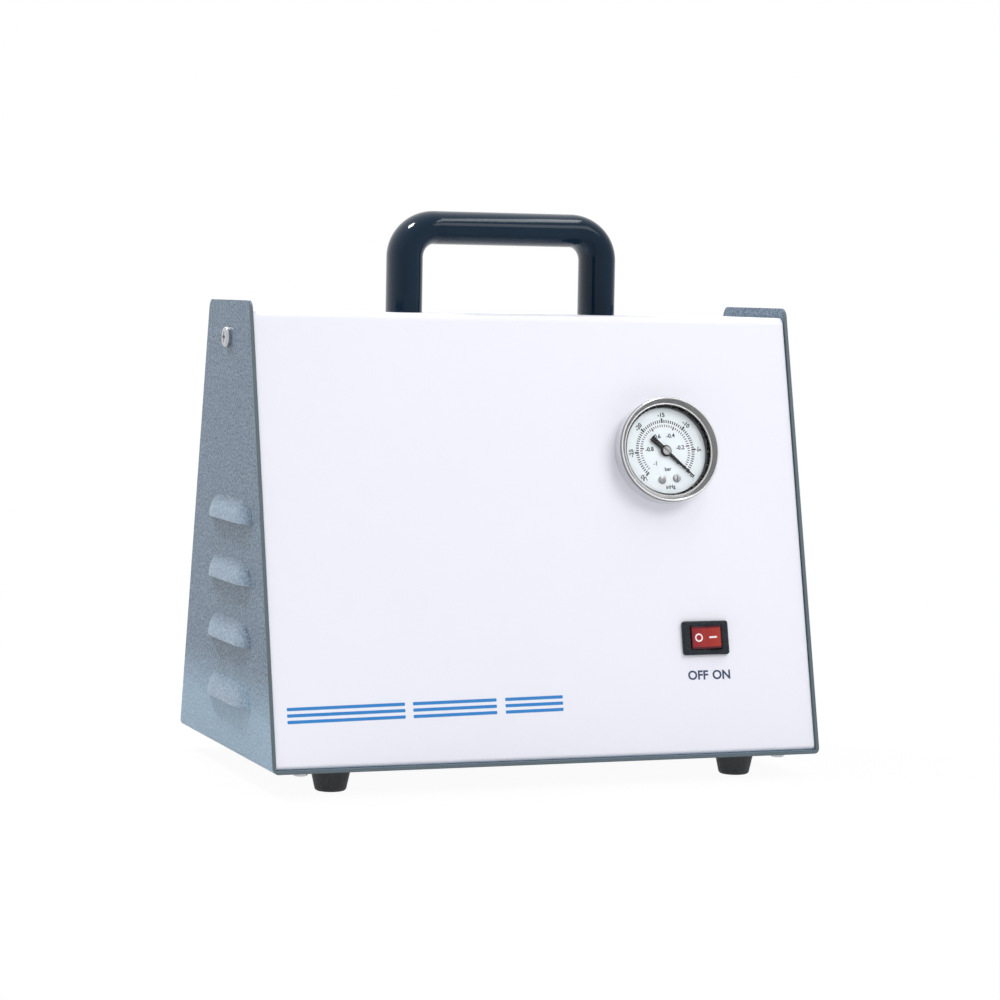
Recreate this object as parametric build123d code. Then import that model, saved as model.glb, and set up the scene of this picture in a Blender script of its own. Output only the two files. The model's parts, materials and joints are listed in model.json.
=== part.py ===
from build123d import *
import math
import os

os.makedirs("parts", exist_ok=True)

# Single-head diaphragm vacuum pump in a leaning sheet-metal case.
# Millimetres. Origin on the table under the middle of the case; the front faces -Y.

# ---- Case -------------------------------------------------------------------
body_width = 255.0  # over the two side plates
base_depth = 156.0
top_depth = 65.0
plate_height = 199.0  # underside of the base to the top of the side plates
sheet = 1.5
chassis_bend = 2.5
plate_corner = 5.0
foot_height = 11.0

cover_sheet = 1.2
cover_recess = 1.0  # cover face behind the plates' edges
cover_drop = 4.4  # cover top below the plates' tops
cover_bend = 4.0
cover_side_gap = 0.3
bottom_flange = 15.0
side_flange = 9.0
top_flange = 18.0

hole_gap = 0.1  # radial clearance of a screw in its hole
running_gap = 0.05  # radial clearance of a shaft in its bearing
seat_gap = 0.2  # around a piece dropped into a cut-out
far = 400.0  # reach of a cutter that passes right through

# ---- Louvres ----------------------------------------------------------------
louvre_count = 4
louvre_pitch = 26.7
louvre_first_lip = 22.5  # above the base's underside
louvre_height = 10.2
louvre_out = 3.7
louvre_ridge = 34.0
louvre_taper = 18.0
louvre_middle = -7.0  # along the depth
louvre_sheet = 1.1

# ---- Slots in the base, under the motor's fan ----
vent_slot = (4.0, 26.0)
vent_pitch = 12.0
vent_count = 6
vent_from_front = 33.0
vent_from_side = 47.5

# ---- Fasteners and feet -----------------------------------------------------
small_thread = 2.0  # M4 radius
large_thread = 2.5  # M5 radius
pan_head = (4.0, 2.4)  # radius and height of an M4 head
nut_across_flats = 7.0
nut_height = 3.2

foot_from_side, foot_from_front = 32.1, 22.0
foot_top_radius = 9.1
foot_bottom_radius = 6.7
foot_counterbore = 5.0

base_screw_from_side, base_screw_from_front = 15.4, 11.8
base_screw_head = (3.4, 2.6)
side_screw_drop = 16.3  # below the top of the side plate
side_screw_head = (4.6, 2.3)

# ---- Handle -----------------------------------------------------------------
handle_spacing = 93.0
handle_height = 45.7
handle_section = (15.0, 26.0)  # across the bar, along the depth
handle_bend = 13.5  # at the middle of the bar
handle_screw_depth = 14.0

# ---- Gauge, measured from the cover's face ----------------------------------
gauge_from_side, gauge_v = 65.7, 137.8  # in from the right, and up the front panel
gauge_turn = 5.0  # how far the gauge sits turned in its hole
zero_angle = -42.0  # pointer at zero
gauge_sweep = 270.0
bezel_radius = 23.75
bezel_height = 8.5
bezel_lip_radius = 20.4
bezel_lip = 0.7
bezel_dish = 2.4  # rim down to the lip around the glass
bezel_wall = 1.2
case_radius = 20.0
case_depth = 24.0
case_wall = 1.2
dial_thickness = 0.6
spacer_radius = 19.6
glass_thickness = 1.2
dial_screw_x, dial_screw_drop = 3.6, 12.75
pointer_length = 17.3
pointer_tail = 8.9
pointer_height = 0.9  # above the dial
pointer_thickness = 0.4
cap_radius = 1.9
cap_height = 0.9
spindle_radius = 0.6
sector_radius = 8.0
pinion_radius = 1.0
bourdon_radius = 13.5
bourdon_sweep = 255.0
bourdon_section = (7.0, 1.8)
movement_low = -9.0  # underside of the movement's rear plate
movement_gap = 5.0
movement_plate = 1.0
stem_radius = 4.9
stem_length = 20.0
gauge_strap = 1.5

# ---- Rocker switch, measured from the cover's face --------------------------
switch_from_side, switch_v = 52.0, 53.5
switch_bezel = (22.0, 15.1, 2.0)
switch_body = (19.2, 12.9, 20.0)
switch_window = (15.3, 10.6)
rocker_radius = 7.55  # from the pivot to the rounded ends
rocker_width = 10.2
rocker_tilt = 11.0  # either side of the middle
rocker_flush = 0.4  # pressed half above the bezel
rocker_below = 3.5
rocker_pin = 1.2
rocker_pin_reach = 6.0
switch_well = 7.0
snap_reach = 0.8

# ---- Power inlet, measured from the rear face -------------------------------
inlet_from_side, inlet_v = 47.5, 45.0
inlet_flange = (31.0, 42.0, 2.5)
inlet_body = (27.0, 38.0, 24.0)
socket_size = (24.4, 16.4, 17.0)
socket_up = 7.5
socket_corner = 4.5
pin_section = (2.0, 4.0)
pin_spacing = 14.0
pin_rise = 4.0
pin_short = 2.0  # tips below the mouth
drawer_size = (23.4, 8.4, 20.0)
drawer_down = 11.5
drawer_face = 1.8
fuse_radius, fuse_length = 2.5, 20.0

# ---- Motor, along X ---------------------------------------------------------
shaft_z = 68.0
shaft_radius = 4.0
stator_radius = 42.0
stator_bore = 22.0
stator_length = 50.0
crank_to_stator = 52.0  # pump's upright axis to the near end of the stator
air_gap = 0.4
bell_length = 14.0
bell_wall = 2.5
bell_plate = 4.0
bearing_radius, bearing_width = 11.0, 7.0
winding_outer, winding_inner, winding_length = 34.0, 25.0, 9.0
tie_circle = 37.5
end_ring = (20.5, 12.0, 5.0)
fan_radius, fan_hub, fan_width = 38.0, 8.0, 12.0
fan_offset = 4.0
fan_blade_count = 9
fan_pitch = 35.0

# ---- Pump -------------------------------------------------------------------
pump_from_side = 45.5  # outside of the side plate to the pump's upright axis
head_seat = 118.0  # top of the crank housing
crank_throw = 3.0
journal_radius = 8.5
rod_bearing_radius, rod_width = 17.5, 10.0
rod_ring = 3.5
barrel_radius, barrel_bore = 33.0, 28.0
tower_wall = 4.0
head_radius = 38.0
housing_flange = 10.0
housing_wall = 3.0
diaphragm_thickness = 2.0
clamp_radius, clamp_thickness = 16.0, 2.0
clamp_screw_reach = 11.0
roll_gap = 1.0  # between the flexing ring and the tower's bore
valve_plate_thickness = 14.0
chamber_height = 6.0
gasket_thickness = 1.0
cover_flange_thickness = 8.0
head_rim = 9.0  # flange outside the dome
dome_height = 18.0
chamber_wall, chamber_depth, chamber_web = 3.0, 11.0, 4.0
head_screw_inset = 4.5
fin_height, fin_thickness, fin_pitch, fin_rows = 3.0, 1.8, 5.0, 3
tower_inset = 7.0  # tower inside the head's rim
head_screw_head = (4.2, 4.0)
port_offset = 16.0
valve_cap, valve_stem, valve_port = 6.0, 1.4, 1.0
counterweight_radius, counterweight_width = 24.0, 8.0

# ---- Pipework ---------------------------------------------------------------
fitting_radius = 5.0
fitting_rise = 9.0  # head cover top to the corner of the elbow
hose_root, hose_crest = 3.9, 4.75  # outside, for the user's hoses
line_root, line_crest = 3.7, 4.4  # inside, for the lines to the head
hose_wall = 1.7
hose_slack = 0.05
nozzle_bore = 2.75
nozzle_flats, nozzle_flange = 14.0, 5.0
nozzle_crest_count = 3
crest_pitch = 5.0
crest_land = 0.8
neck_length = 8.0
small_root, small_crest, small_wall, small_bore = 2.0, 2.5, 1.5, 1.2

# ---- Cradle and electrics ---------------------------------------------------
cradle_plate = 2.0
isolator_radius, isolator_height = 7.0, 8.5
isolator_past_pump, isolator_in_stator = 12.0, 5.0
isolator_y = 30.0
saddle_width = 6.0
saddle_top = 40.0
capacitor_from_side = 26.5
capacitor_radius, capacitor_height = 16.0, 62.0
strap_thickness, strap_width = 1.2, 16.0
wire_radius = 1.3

# ---- What follows from them -------------------------------------------------
small_hole, large_hole = small_thread + hole_gap, large_thread + hole_gap
lean = math.atan((base_depth - top_depth) / 2 / plate_height)
plate_top = foot_height + plate_height
base_top = foot_height + sheet
cover_top = plate_top - cover_drop
cover_width = body_width - 2 * sheet - 2 * cover_side_gap
side_screw_z = plate_top - side_screw_drop
foot_x, foot_y = body_width / 2 - foot_from_side, base_depth / 2 - foot_from_front
base_screw_x = body_width / 2 - base_screw_from_side
base_screw_y = base_depth / 2 - base_screw_from_front
gauge_x = body_width / 2 - gauge_from_side
switch_x = body_width / 2 - switch_from_side
inlet_x = body_width / 2 - inlet_from_side
capacitor_x = body_width / 2 - capacitor_from_side
head_x = pump_from_side - body_width / 2
head_screw_circle = head_radius - head_screw_inset
tower_radius = head_radius - tower_inset
tower_bore = tower_radius - tower_wall
roll_radius = tower_bore - roll_gap
dome_radius = head_radius - head_rim
chamber_radius = dome_radius - chamber_wall
housing_half = tower_radius
stator_start = head_x + crank_to_stator
stator_end = stator_start + stator_length
front_bell_face = stator_start - bell_length
rear_bell_face = stator_end + bell_length
cradle_base = base_top + isolator_height
isolator_xs = (head_x - isolator_past_pump, stator_end - isolator_in_stator)
pin_z = shaft_z + crank_throw
rod_top = head_seat + crank_throw
plate_low = head_seat + diaphragm_thickness
plate_high = plate_low + valve_plate_thickness
cover_low = plate_high + gasket_thickness
dome_top = cover_low + dome_height
elbow_z = dome_top + fitting_rise
nozzle_v = base_depth / 2 * math.sin(lean) + (elbow_z - foot_height) * math.cos(lean)
nozzle_reach = base_depth / 2 * math.cos(lean) - (elbow_z - foot_height) * math.sin(lean) - cover_recess
arbor = -(sector_radius + pinion_radius)  # sector pivot below the gauge's middle
glass_low = bezel_height - bezel_dish - bezel_lip - glass_thickness
dial_face = case_wall + dial_thickness

# Places: x across, y up the panel, z out of it.
front_face = (
    Pos(0, -base_depth / 2, foot_height)
    * Rot(90 - math.degrees(lean), 0, 0)
    * Pos(0, 0, -cover_recess)
)
rear_face = (
    Pos(0, base_depth / 2, foot_height)
    * Rot(0, 0, 180)
    * Rot(90 - math.degrees(lean), 0, 0)
    * Pos(0, 0, -cover_recess)
)
gauge_place = front_face * Pos(gauge_x, gauge_v, 0) * Rot(0, 0, gauge_turn)
switch_place = front_face * Pos(switch_x, switch_v, 0)
inlet_place = rear_face * Pos(-inlet_x, inlet_v, 0)
# Along the motor: z is +X, x is +Y, y is up.
shaft_line = Plane((0, 0, shaft_z), x_dir=(0, 1, 0), z_dir=(1, 0, 0)).location
head_axis = Pos(head_x, 0, 0)
corners = [(1, 1), (1, -1), (-1, 1), (-1, -1)]
foot_places = [Pos(x * foot_x, y * foot_y, 0) for x, y in corners]
base_screw_places = [Pos(x * base_screw_x, y * base_screw_y, 0) for x, y in corners]


# ---- Simple forms -----------------------------------------------------------
def block(x, y, z):
    return Box(x, y, z, align=(Align.CENTER, Align.CENTER, Align.MIN))


def disc(radius, height):
    return Cylinder(radius, height, align=(Align.CENTER, Align.CENTER, Align.MIN))


def tube(outer, inner, height):
    return disc(outer, height) - Pos(0, 0, -1) * disc(inner, height + 2)


def turned(*outline):
    """Solid of revolution about Z from (radius, height) corners."""
    return revolve(Plane.XZ * make_face(Polyline(*outline, close=True)), Axis.Z)


def hexagon(across_flats, height):
    return extrude(RegularPolygon(across_flats / 2 / math.cos(math.pi / 6), 6), height)


def screw(thread, length, head, cross=False):
    """Pan-head screw: its head stands on height 0 and its shank goes down."""
    head_radius, head_height = head
    top = disc(head_radius, head_height)
    top = fillet(top.edges().sort_by(Axis.Z)[-1], head_height * 0.5)
    body = top + Pos(0, 0, -length) * disc(thread, length)
    if cross:
        for turn in (0, 90):
            groove = block(head_radius, head_radius * 0.25, head_height)
            body -= Pos(0, 0, head_height * 0.5) * Rot(0, 0, turn) * groove
    return body


def hex_nut(across_flats, height, thread):
    return hexagon(across_flats, height) - Pos(0, 0, -1) * disc(thread + hole_gap, height + 2)


def half_depth(z, inset=0.0):
    """Middle of the case to its leaning side at height z, less an inset square to that side."""
    return base_depth / 2 - (z - foot_height) * math.tan(lean) - inset / math.cos(lean)


def wedge(low, high, inset, width):
    """Block with the case's leaning front and rear."""
    lower, upper = half_depth(low, inset), half_depth(high, inset)
    outline = Polyline((-lower, low), (lower, low), (upper, high), (-upper, high), close=True)
    return extrude(Plane.YZ * make_face(outline), width / 2, both=True)


def long_edges(solid, top):
    edges = solid.edges().filter_by(Axis.X).sort_by(Axis.Z)
    return edges[-2:] if top else edges[:2]


def barb(root, crest, count, tip, bore):
    """Hose tail standing on height 0, with its crests towards the tip."""
    points = [(bore, 0), (root, 0)]
    for i in range(count):
        edge = tip - (count - i) * crest_pitch
        points += [(root, edge), (crest, edge), (crest, edge + crest_land), (root, edge + crest_pitch - 0.4)]
    points += [(root, tip), (bore, tip)]
    return turned(*points)


def save(name, shape):
    solids = shape.solids()
    export_step(solids[0] if len(solids) == 1 else Compound(children=solids), f"parts/{name}.step")


# ---- Case -------------------------------------------------------------------
def hood(inset, below):
    """Louvre bulge on a plate in the YZ plane: X out of the plate, Z up from the lip."""
    bow = (louvre_out**2 + louvre_height**2) / (2 * louvre_out)
    spread = (louvre_out**2 + louvre_taper**2) / (2 * louvre_out)
    lens = Pos(louvre_out - bow, 0) * Circle(bow - inset)
    out = louvre_out - inset
    section = lens & Pos(out / 2 - 0.5, louvre_height / 2) * Rectangle(out + 1, louvre_height)
    section += Pos(out / 2 - 0.5, -below / 2) * Rectangle(out + 1, below) if below else None
    middle = extrude(Plane.XZ * section, louvre_ridge / 2, both=True)
    end = revolve(Plane.XZ * section, Axis((louvre_out - spread, 0, 0), (0, 0, 1)))
    end &= Pos(0, louvre_taper / 2 + 1, -1) * block(2 * louvre_out + 4, louvre_taper + 2, louvre_height + 2)
    end = Pos(0, louvre_ridge / 2, 0) * (end - Pos(0, -far / 2, -far / 2) * block(far, far, far))
    bulge = middle + end + mirror(end, Plane.XZ)
    return bulge - Pos(-sheet / 4 - far / 2, 0, -far / 2) * block(far, far, far)


def make_chassis():
    outside = Pos(0, 0, foot_height) * block(body_width, base_depth, plate_height)
    outside = fillet(outside.edges().filter_by(Axis.Y).sort_by(Axis.Z)[:2], chassis_bend)
    inside = Pos(0, 0, base_top) * block(body_width - 2 * sheet, base_depth, plate_height)
    inside = fillet(inside.edges().filter_by(Axis.Y).sort_by(Axis.Z)[:2], chassis_bend - sheet)
    plates = wedge(foot_height, plate_top, 0, body_width)
    plates = fillet(long_edges(plates, True), plate_corner)
    chassis = (outside - inside) & plates
    screwed = foot_places + base_screw_places + isolator_places()
    holes = [place * disc(small_hole, 2 * foot_height) for place in screwed]
    holes += [Pos(0, 0, side_screw_z) * Rot(0, 90, 0) * Cylinder(small_hole, far)]
    vent_x = body_width / 2 - vent_from_side
    vent_y = base_depth / 2 - vent_from_front
    vents = [
        Pos(vent_x - i * vent_pitch, y, 0) * block(*vent_slot, 2 * foot_height)
        for i in range(vent_count)
        for y in (-vent_y, vent_y)
    ]
    chassis = chassis - holes - vents
    shell = hood(0, 0) - hood(louvre_sheet, 1)
    window = Pos(-sheet / 2, 0, 0) * block(2 * sheet, louvre_ridge + louvre_taper, louvre_height * 0.55)
    for i in range(louvre_count):
        right = Pos(body_width / 2, louvre_middle, foot_height + louvre_first_lip + i * louvre_pitch)
        chassis -= [right * window, mirror(right * window, Plane.YZ)]
        chassis += [right * shell, mirror(right * shell, Plane.YZ)]
    return chassis


def make_cover():
    low, high = base_top, cover_top
    outside = wedge(low, high, cover_recess, cover_width)
    outside = fillet(long_edges(outside, True), cover_bend)
    outside = fillet(long_edges(outside, False), 1.8)
    inner_inset = cover_recess + cover_sheet
    inside = wedge(low + cover_sheet, high - cover_sheet, inner_inset, cover_width)
    inside = fillet(long_edges(inside, True), cover_bend - cover_sheet)
    mouth = 2 * (half_depth(low, cover_recess) - bottom_flange)
    cover = outside - inside - Pos(0, 0, low - 1) * block(cover_width, mouth, cover_sheet + 2)
    rims = inside - Pos(0, 0, low) * block(cover_width - 2 * cover_sheet, base_depth, plate_height)
    rims -= wedge(low, high - top_flange, cover_recess + side_flange, cover_width + 2)
    cover += rims
    room = Pos(0, 0, low) * block(cover_width, base_depth, plate_height)
    cover &= fillet(room.edges().filter_by(Axis.Y).sort_by(Axis.Z)[:2], chassis_bend - sheet)
    cuts = [gauge_place * Pos(0, 0, -5) * disc(case_radius + seat_gap, 10)]
    cuts += [switch_place * Pos(0, 0, -5) * block(switch_body[0] + seat_gap, switch_body[1] + seat_gap, 10)]
    cuts += [inlet_place * Pos(0, 0, -5) * block(inlet_body[0] + seat_gap, inlet_body[1] + seat_gap, 10)]
    cuts += [nozzle_place(side) * Pos(0, 0, -5) * disc(fitting_radius + hole_gap, 10) for side in (1, -1)]
    cuts += [Pos(x * handle_spacing / 2, 0, high - 5) * disc(large_hole, 10) for x in (1, -1)]
    cuts += [place * disc(small_hole, 2 * foot_height) for place in base_screw_places]
    cuts += [Pos(0, 0, side_screw_z) * Rot(0, 90, 0) * Cylinder(small_hole, far)]
    return cover - cuts


def make_foot():
    foot = turned(
        (small_hole, foot_height),
        (foot_top_radius, foot_height),
        (foot_bottom_radius, 0),
        (pan_head[0] + 0.3, 0),
        (pan_head[0] + 0.3, foot_counterbore),
        (small_hole, foot_counterbore),
    )
    return fillet(foot.edges().group_by(Axis.Z)[0].sort_by(SortBy.RADIUS)[-1], 1.5)


def make_handle():
    across, along = handle_section
    section = Ellipse(across / 2, along / 2)
    leg_x = handle_spacing / 2
    leg_height = handle_height - across / 2 - handle_bend
    leg = Pos(leg_x, 0, 0) * extrude(section, leg_height)
    turn = Axis((leg_x - handle_bend, 0, leg_height), (0, -1, 0))
    bend = revolve(Pos(leg_x, 0, leg_height) * section, turn, 90)
    bar_section = Plane.YZ * Pos(0, leg_height + handle_bend) * Rot(0, 0, 90) * section
    bar = extrude(bar_section, leg_x - handle_bend, both=True)
    half = leg + bend
    handle = bar + half + mirror(half, Plane.YZ)
    bores = [Pos(x * leg_x, 0, -1) * disc(large_hole, handle_screw_depth + 3) for x in (1, -1)]
    return Pos(0, 0, cover_top) * (handle - bores)


def make_case():
    save("chassis", make_chassis())
    save("cover", make_cover())
    feet = [Pos(x * foot_x, y * foot_y, 0) for x, y in corners]
    foot = make_foot()
    save("rubber_feet", Compound(children=[place * foot for place in feet]))
    upward = Rot(180, 0, 0)
    length = cradle_base + cradle_plate + nut_height + 1 - foot_height
    bottom_screw = upward * screw(small_thread, length, pan_head, True)
    bottom_screws = [place * Pos(0, 0, foot_counterbore) * bottom_screw for place in feet]
    bottom_screws += [place * Pos(0, 0, foot_height) * bottom_screw for place in isolator_places()]
    save("bottom_screws", Compound(children=bottom_screws))
    base_screw = Pos(0, 0, foot_height) * upward * screw(small_thread, 7, base_screw_head, True)
    save("base_screws", Compound(children=[place * base_screw for place in base_screw_places]))
    side_screw = screw(small_thread, 8, side_screw_head, True)
    side_screw = Pos(body_width / 2, 0, side_screw_z) * Rot(0, 90, 0) * side_screw
    save("side_screws", Compound(children=[side_screw, mirror(side_screw, Plane.YZ)]))
    save("handle", make_handle())
    reach = handle_screw_depth + cover_sheet
    handle_screw = screw(large_thread, reach, (4.5, 3.6)) + disc(6.5, 1.2)
    handle_screw = Pos(0, 0, cover_top - cover_sheet) * upward * handle_screw
    ends = [Pos(x * handle_spacing / 2, 0, 0) * handle_screw for x in (1, -1)]
    save("handle_screws", Compound(children=ends))


# ---- Gauge ------------------------------------------------------------------
def make_bezel():
    lip_high = bezel_height - bezel_dish
    lip_low = lip_high - bezel_lip
    inner = bezel_radius - bezel_wall
    return turned(
        (inner, 0),
        (bezel_radius, 0),
        (bezel_radius, bezel_height - 0.8),
        (bezel_radius - 0.25, bezel_height - 0.2),
        (bezel_radius - 0.7, bezel_height),
        (bezel_radius - 1.1, bezel_height - 0.3),
        (bezel_lip_radius + 0.9, lip_high),
        (bezel_lip_radius + 0.2, lip_high),
        (bezel_lip_radius, lip_high - 0.2),
        (bezel_lip_radius, lip_low),
        (inner, lip_low),
    )


def make_gauge_case():
    outer = bezel_radius - bezel_wall - 0.1
    floor = -case_depth
    case = turned(
        (stem_radius + 0.1, floor),
        (case_radius, floor),
        (case_radius, 0),
        (outer, 0),
        (outer, case_wall),
        (case_radius - case_wall, case_wall),
        (case_radius - case_wall, floor + case_wall),
        (stem_radius + 0.1, floor + case_wall),
    )
    return case


def make_stem():
    """Threaded stem, the boss that carries the movement, and the arm that holds the tube."""
    floor = -case_depth
    back = floor - gauge_strap
    boss = Pos(0, 0, back) * disc(stem_radius, case_depth + gauge_strap + movement_low)
    collar = Pos(0, 0, back - 4) * hexagon(2 * stem_radius + 2, 4)
    tail = barb(small_root, small_crest, 2, stem_length - 5, small_bore)
    tail = Pos(0, 0, back - 4) * Rot(180, 0, 0) * tail
    arm = Pos(-2, -(bourdon_radius + 2) / 2, -14 - bourdon_section[0] / 2)
    arm *= block(4, bourdon_radius + 2, bourdon_section[0])
    bore = Pos(0, 0, floor - 2 * stem_length) * disc(small_bore, 2 * stem_length + 10)
    return boss + collar + tail + arm - bore


def make_bourdon_tube():
    section = Plane.YZ * Pos(-bourdon_radius, -14) * Rot(0, 0, 90) * SlotOverall(*bourdon_section)
    return revolve(section, Axis.Z, bourdon_sweep)


def make_movement():
    """Two brass plates on four pillars; the sector and the spindle turn between them."""
    outline = Pos(0, arbor / 2) * RectangleRounded(11, 5 - arbor + 3, 2)
    low = Pos(0, 0, movement_low) * extrude(outline, movement_plate)
    high = Pos(0, 0, movement_low + movement_plate + movement_gap) * extrude(outline, movement_plate)
    pillar = Pos(0, 0, movement_low + movement_plate) * disc(0.8, movement_gap)
    stands = [(side * x, y) for side in (1, -1) for x, y in ((3, 2.6), (4.2, arbor - 1.6))]
    pillars = [Pos(x, y, 0) * pillar for x, y in stands]
    frame = low + high + pillars
    holes = [Pos(0, y, movement_low - 1) * disc(spindle_radius + running_gap, 12) for y in (0, arbor)]
    return frame - holes


def make_sector():
    """Sector at zero: half of its travel to one side of the spindle."""
    level = movement_low + movement_plate + movement_gap / 2
    half_travel = gauge_sweep * pinion_radius / sector_radius / 2
    side = sector_radius * math.tan(math.radians(half_travel + 8))
    fan = make_face(Polyline((0, 0), (-side, sector_radius), (side, sector_radius), close=True))
    fan = Rot(0, 0, half_travel) * (fan & Circle(sector_radius - 0.05))
    arm = Rot(0, 0, half_travel) * Pos(0, -1.5) * Rectangle(1.6, 3)
    leaf = extrude(fan + Circle(1.5) + arm, 1)
    top = movement_low + 2 * movement_plate + movement_gap
    pivot = Pos(0, 0, movement_low) * disc(spindle_radius, top - movement_low)
    return Pos(0, arbor, 0) * (Pos(0, 0, level) * leaf + pivot)


def pointer_turned(shape):
    return gauge_place * Rot(0, 0, zero_angle - gauge_turn) * shape


def make_pointer():
    blade = Polyline((pointer_length, -0.25), (pointer_length, 0.25), (0, 1.1), (0, -1.1), close=True)
    tail = Polyline((0, -0.8), (0, 0.8), (-pointer_tail, 1.9), (-pointer_tail, -1.9), close=True)
    outline = make_face(blade) + make_face(tail) + Circle(2.6) - Circle(spindle_radius)
    return Pos(0, 0, dial_face + pointer_height) * extrude(outline, pointer_thickness)


def make_spindle():
    top = dial_face + pointer_height + pointer_thickness
    spindle = Pos(0, 0, movement_low) * disc(spindle_radius, top - movement_low)
    pinion = Pos(0, 0, movement_low + movement_plate + 1) * disc(pinion_radius - 0.05, movement_gap - 2)
    cap = Pos(0, 0, top) * disc(cap_radius, cap_height)
    slot = Pos(0, 0, top + cap_height / 2) * block(2 * cap_radius + 1, 0.6, 1)
    return spindle + pinion + cap - slot


def make_gauge_clamp():
    reach = case_depth - cover_sheet
    back = -case_depth - gauge_strap
    strap = Pos(0, 0, back) * block(2 * bezel_radius, 14, gauge_strap)
    leg = Pos(bezel_radius - gauge_strap / 2, 0, back) * block(gauge_strap, 14, reach + gauge_strap)
    clamp = strap + leg + mirror(leg, Plane.YZ)
    return clamp - Pos(0, 0, back - 1) * disc(stem_radius + hole_gap, 4)


def make_gauge():
    save("gauge_bezel", gauge_place * make_bezel())
    save("gauge_case", gauge_place * make_gauge_case())
    lens = bezel_radius - bezel_wall - 0.1
    save("gauge_glass", gauge_place * Pos(0, 0, glass_low) * disc(lens, glass_thickness))
    spacer = tube(lens, spacer_radius, glass_low - dial_face)
    save("gauge_spacer", gauge_place * Pos(0, 0, dial_face) * spacer)
    dial = Pos(0, 0, case_wall) * disc(lens, dial_thickness)
    dial -= disc(spindle_radius + 0.4, 10)
    spots = [Pos(x * dial_screw_x, -dial_screw_drop, 0) for x in (1, -1)]
    dial -= [spot * disc(0.7, 10) for spot in spots]
    save("gauge_dial", gauge_place * dial)
    dial_screw = Pos(0, 0, dial_face) * screw(0.6, 1.0, (1.0, 0.5))
    save("dial_screws", gauge_place * Compound(children=[spot * dial_screw for spot in spots]))
    save("bourdon_tube_and_stem", gauge_place * Compound(children=[make_stem(), make_bourdon_tube()]))
    save("gauge_movement", gauge_place * make_movement())
    save("gauge_sector", gauge_place * make_sector())
    save("gauge_pointer", pointer_turned(make_pointer()))
    save("pointer_spindle", pointer_turned(make_spindle()))
    save("gauge_clamp", gauge_place * make_gauge_clamp())


# ---- Rocker switch ----------------------------------------------------------
def snap_wings(width, wing, length):
    """Sprung wedges on a housing's two sides that hold it behind the panel."""
    start = -cover_sheet - hole_gap
    outline = Polyline((0, start), (snap_reach, start), (0, start - length), close=True)
    side = Pos(width / 2, 0, 0) * extrude(Plane.XZ * make_face(outline), wing / 2, both=True)
    return side + mirror(side, Plane.YZ)


def make_switch_housing():
    bezel = extrude(RectangleRounded(switch_bezel[0], switch_bezel[1], 1.2), switch_bezel[2])
    bezel = chamfer(bezel.faces().sort_by(Axis.Z)[-1].edges(), 0.5)
    body = Pos(0, 0, -switch_body[2]) * block(*switch_body)
    well = Pos(0, 0, -switch_well) * block(*switch_window, switch_well + switch_bezel[2] + 1)
    wide = Rot(90, 0, 0) * Cylinder(rocker_radius + 0.25, switch_window[1])
    wide -= Pos(0, 0, 0.5) * block(far, far, far)
    pins = Rot(90, 0, 0) * Cylinder(rocker_pin + running_gap, 2 * rocker_pin_reach + 0.2)
    return bezel + body + snap_wings(switch_body[0], 5, 8) - well - wide - pins


def make_rocker():
    """Rocker in its middle position, its pivot at height 0."""
    tilt = math.radians(rocker_tilt)
    middle = (switch_bezel[2] + rocker_flush) / math.cos(tilt)
    rise = middle + rocker_radius * math.tan(tilt)
    top = Polyline(
        (-rocker_radius, -rocker_below),
        (rocker_radius, -rocker_below),
        (rocker_radius, rise),
        (0, middle),
        (-rocker_radius, rise),
        close=True,
    )
    section = make_face(top) & Circle(rocker_radius)
    body = extrude(Plane.XZ * section, rocker_width / 2, both=True)
    return body + Rot(90, 0, 0) * Cylinder(rocker_pin, 2 * rocker_pin_reach)


def make_switch():
    save("switch_housing", switch_place * make_switch_housing())
    save("rocker", switch_place * Rot(0, -rocker_tilt, 0) * make_rocker())
    blade = Pos(0, 0, -switch_body[2] - 8) * block(0.8, 4.8, 8)
    blade -= Pos(0, 0, -switch_body[2] - 5.5) * Rot(0, 90, 0) * Cylinder(0.8, 4)
    save("switch_terminals", switch_place * Compound(children=[Pos(x, 0, 0) * blade for x in (-7, 0, 7)]))


# ---- Power inlet ------------------------------------------------------------
def make_inlet_body():
    flange = extrude(RectangleRounded(inlet_flange[0], inlet_flange[1], 2), inlet_flange[2])
    flange = chamfer(flange.faces().sort_by(Axis.Z)[-1].edges(), 0.6)
    body = Pos(0, 0, -inlet_body[2]) * block(*inlet_body)
    mouth = Rectangle(socket_size[0], socket_size[1])
    mouth = chamfer(mouth.vertices().group_by(Axis.Y)[-1], socket_corner)
    socket = Pos(0, socket_up, inlet_flange[2] - socket_size[2]) * extrude(mouth, socket_size[2] + 1)
    depth = drawer_size[2] + 1
    slot = block(drawer_size[0] + 2 * seat_gap, drawer_size[1] + 2 * seat_gap, depth + 1)
    tray = Pos(0, -drawer_down, inlet_flange[2] - depth) * slot
    return flange + body + snap_wings(inlet_body[0], 10, 10) - socket - tray - make_inlet_pins()


def make_inlet_pins():
    """Three blades through the socket's floor; their tails are the solder tabs."""
    tail = inlet_body[2] + 7
    blade = Pos(0, 0, -tail) * block(*pin_section, tail + inlet_flange[2] - pin_short)
    blade = chamfer(blade.faces().sort_by(Axis.Z)[-1].edges(), 0.5)
    low = socket_up - pin_rise / 2
    places = [(-pin_spacing / 2, low), (pin_spacing / 2, low), (0, low + pin_rise)]
    return [Pos(x, y, 0) * blade for x, y in places]


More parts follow.
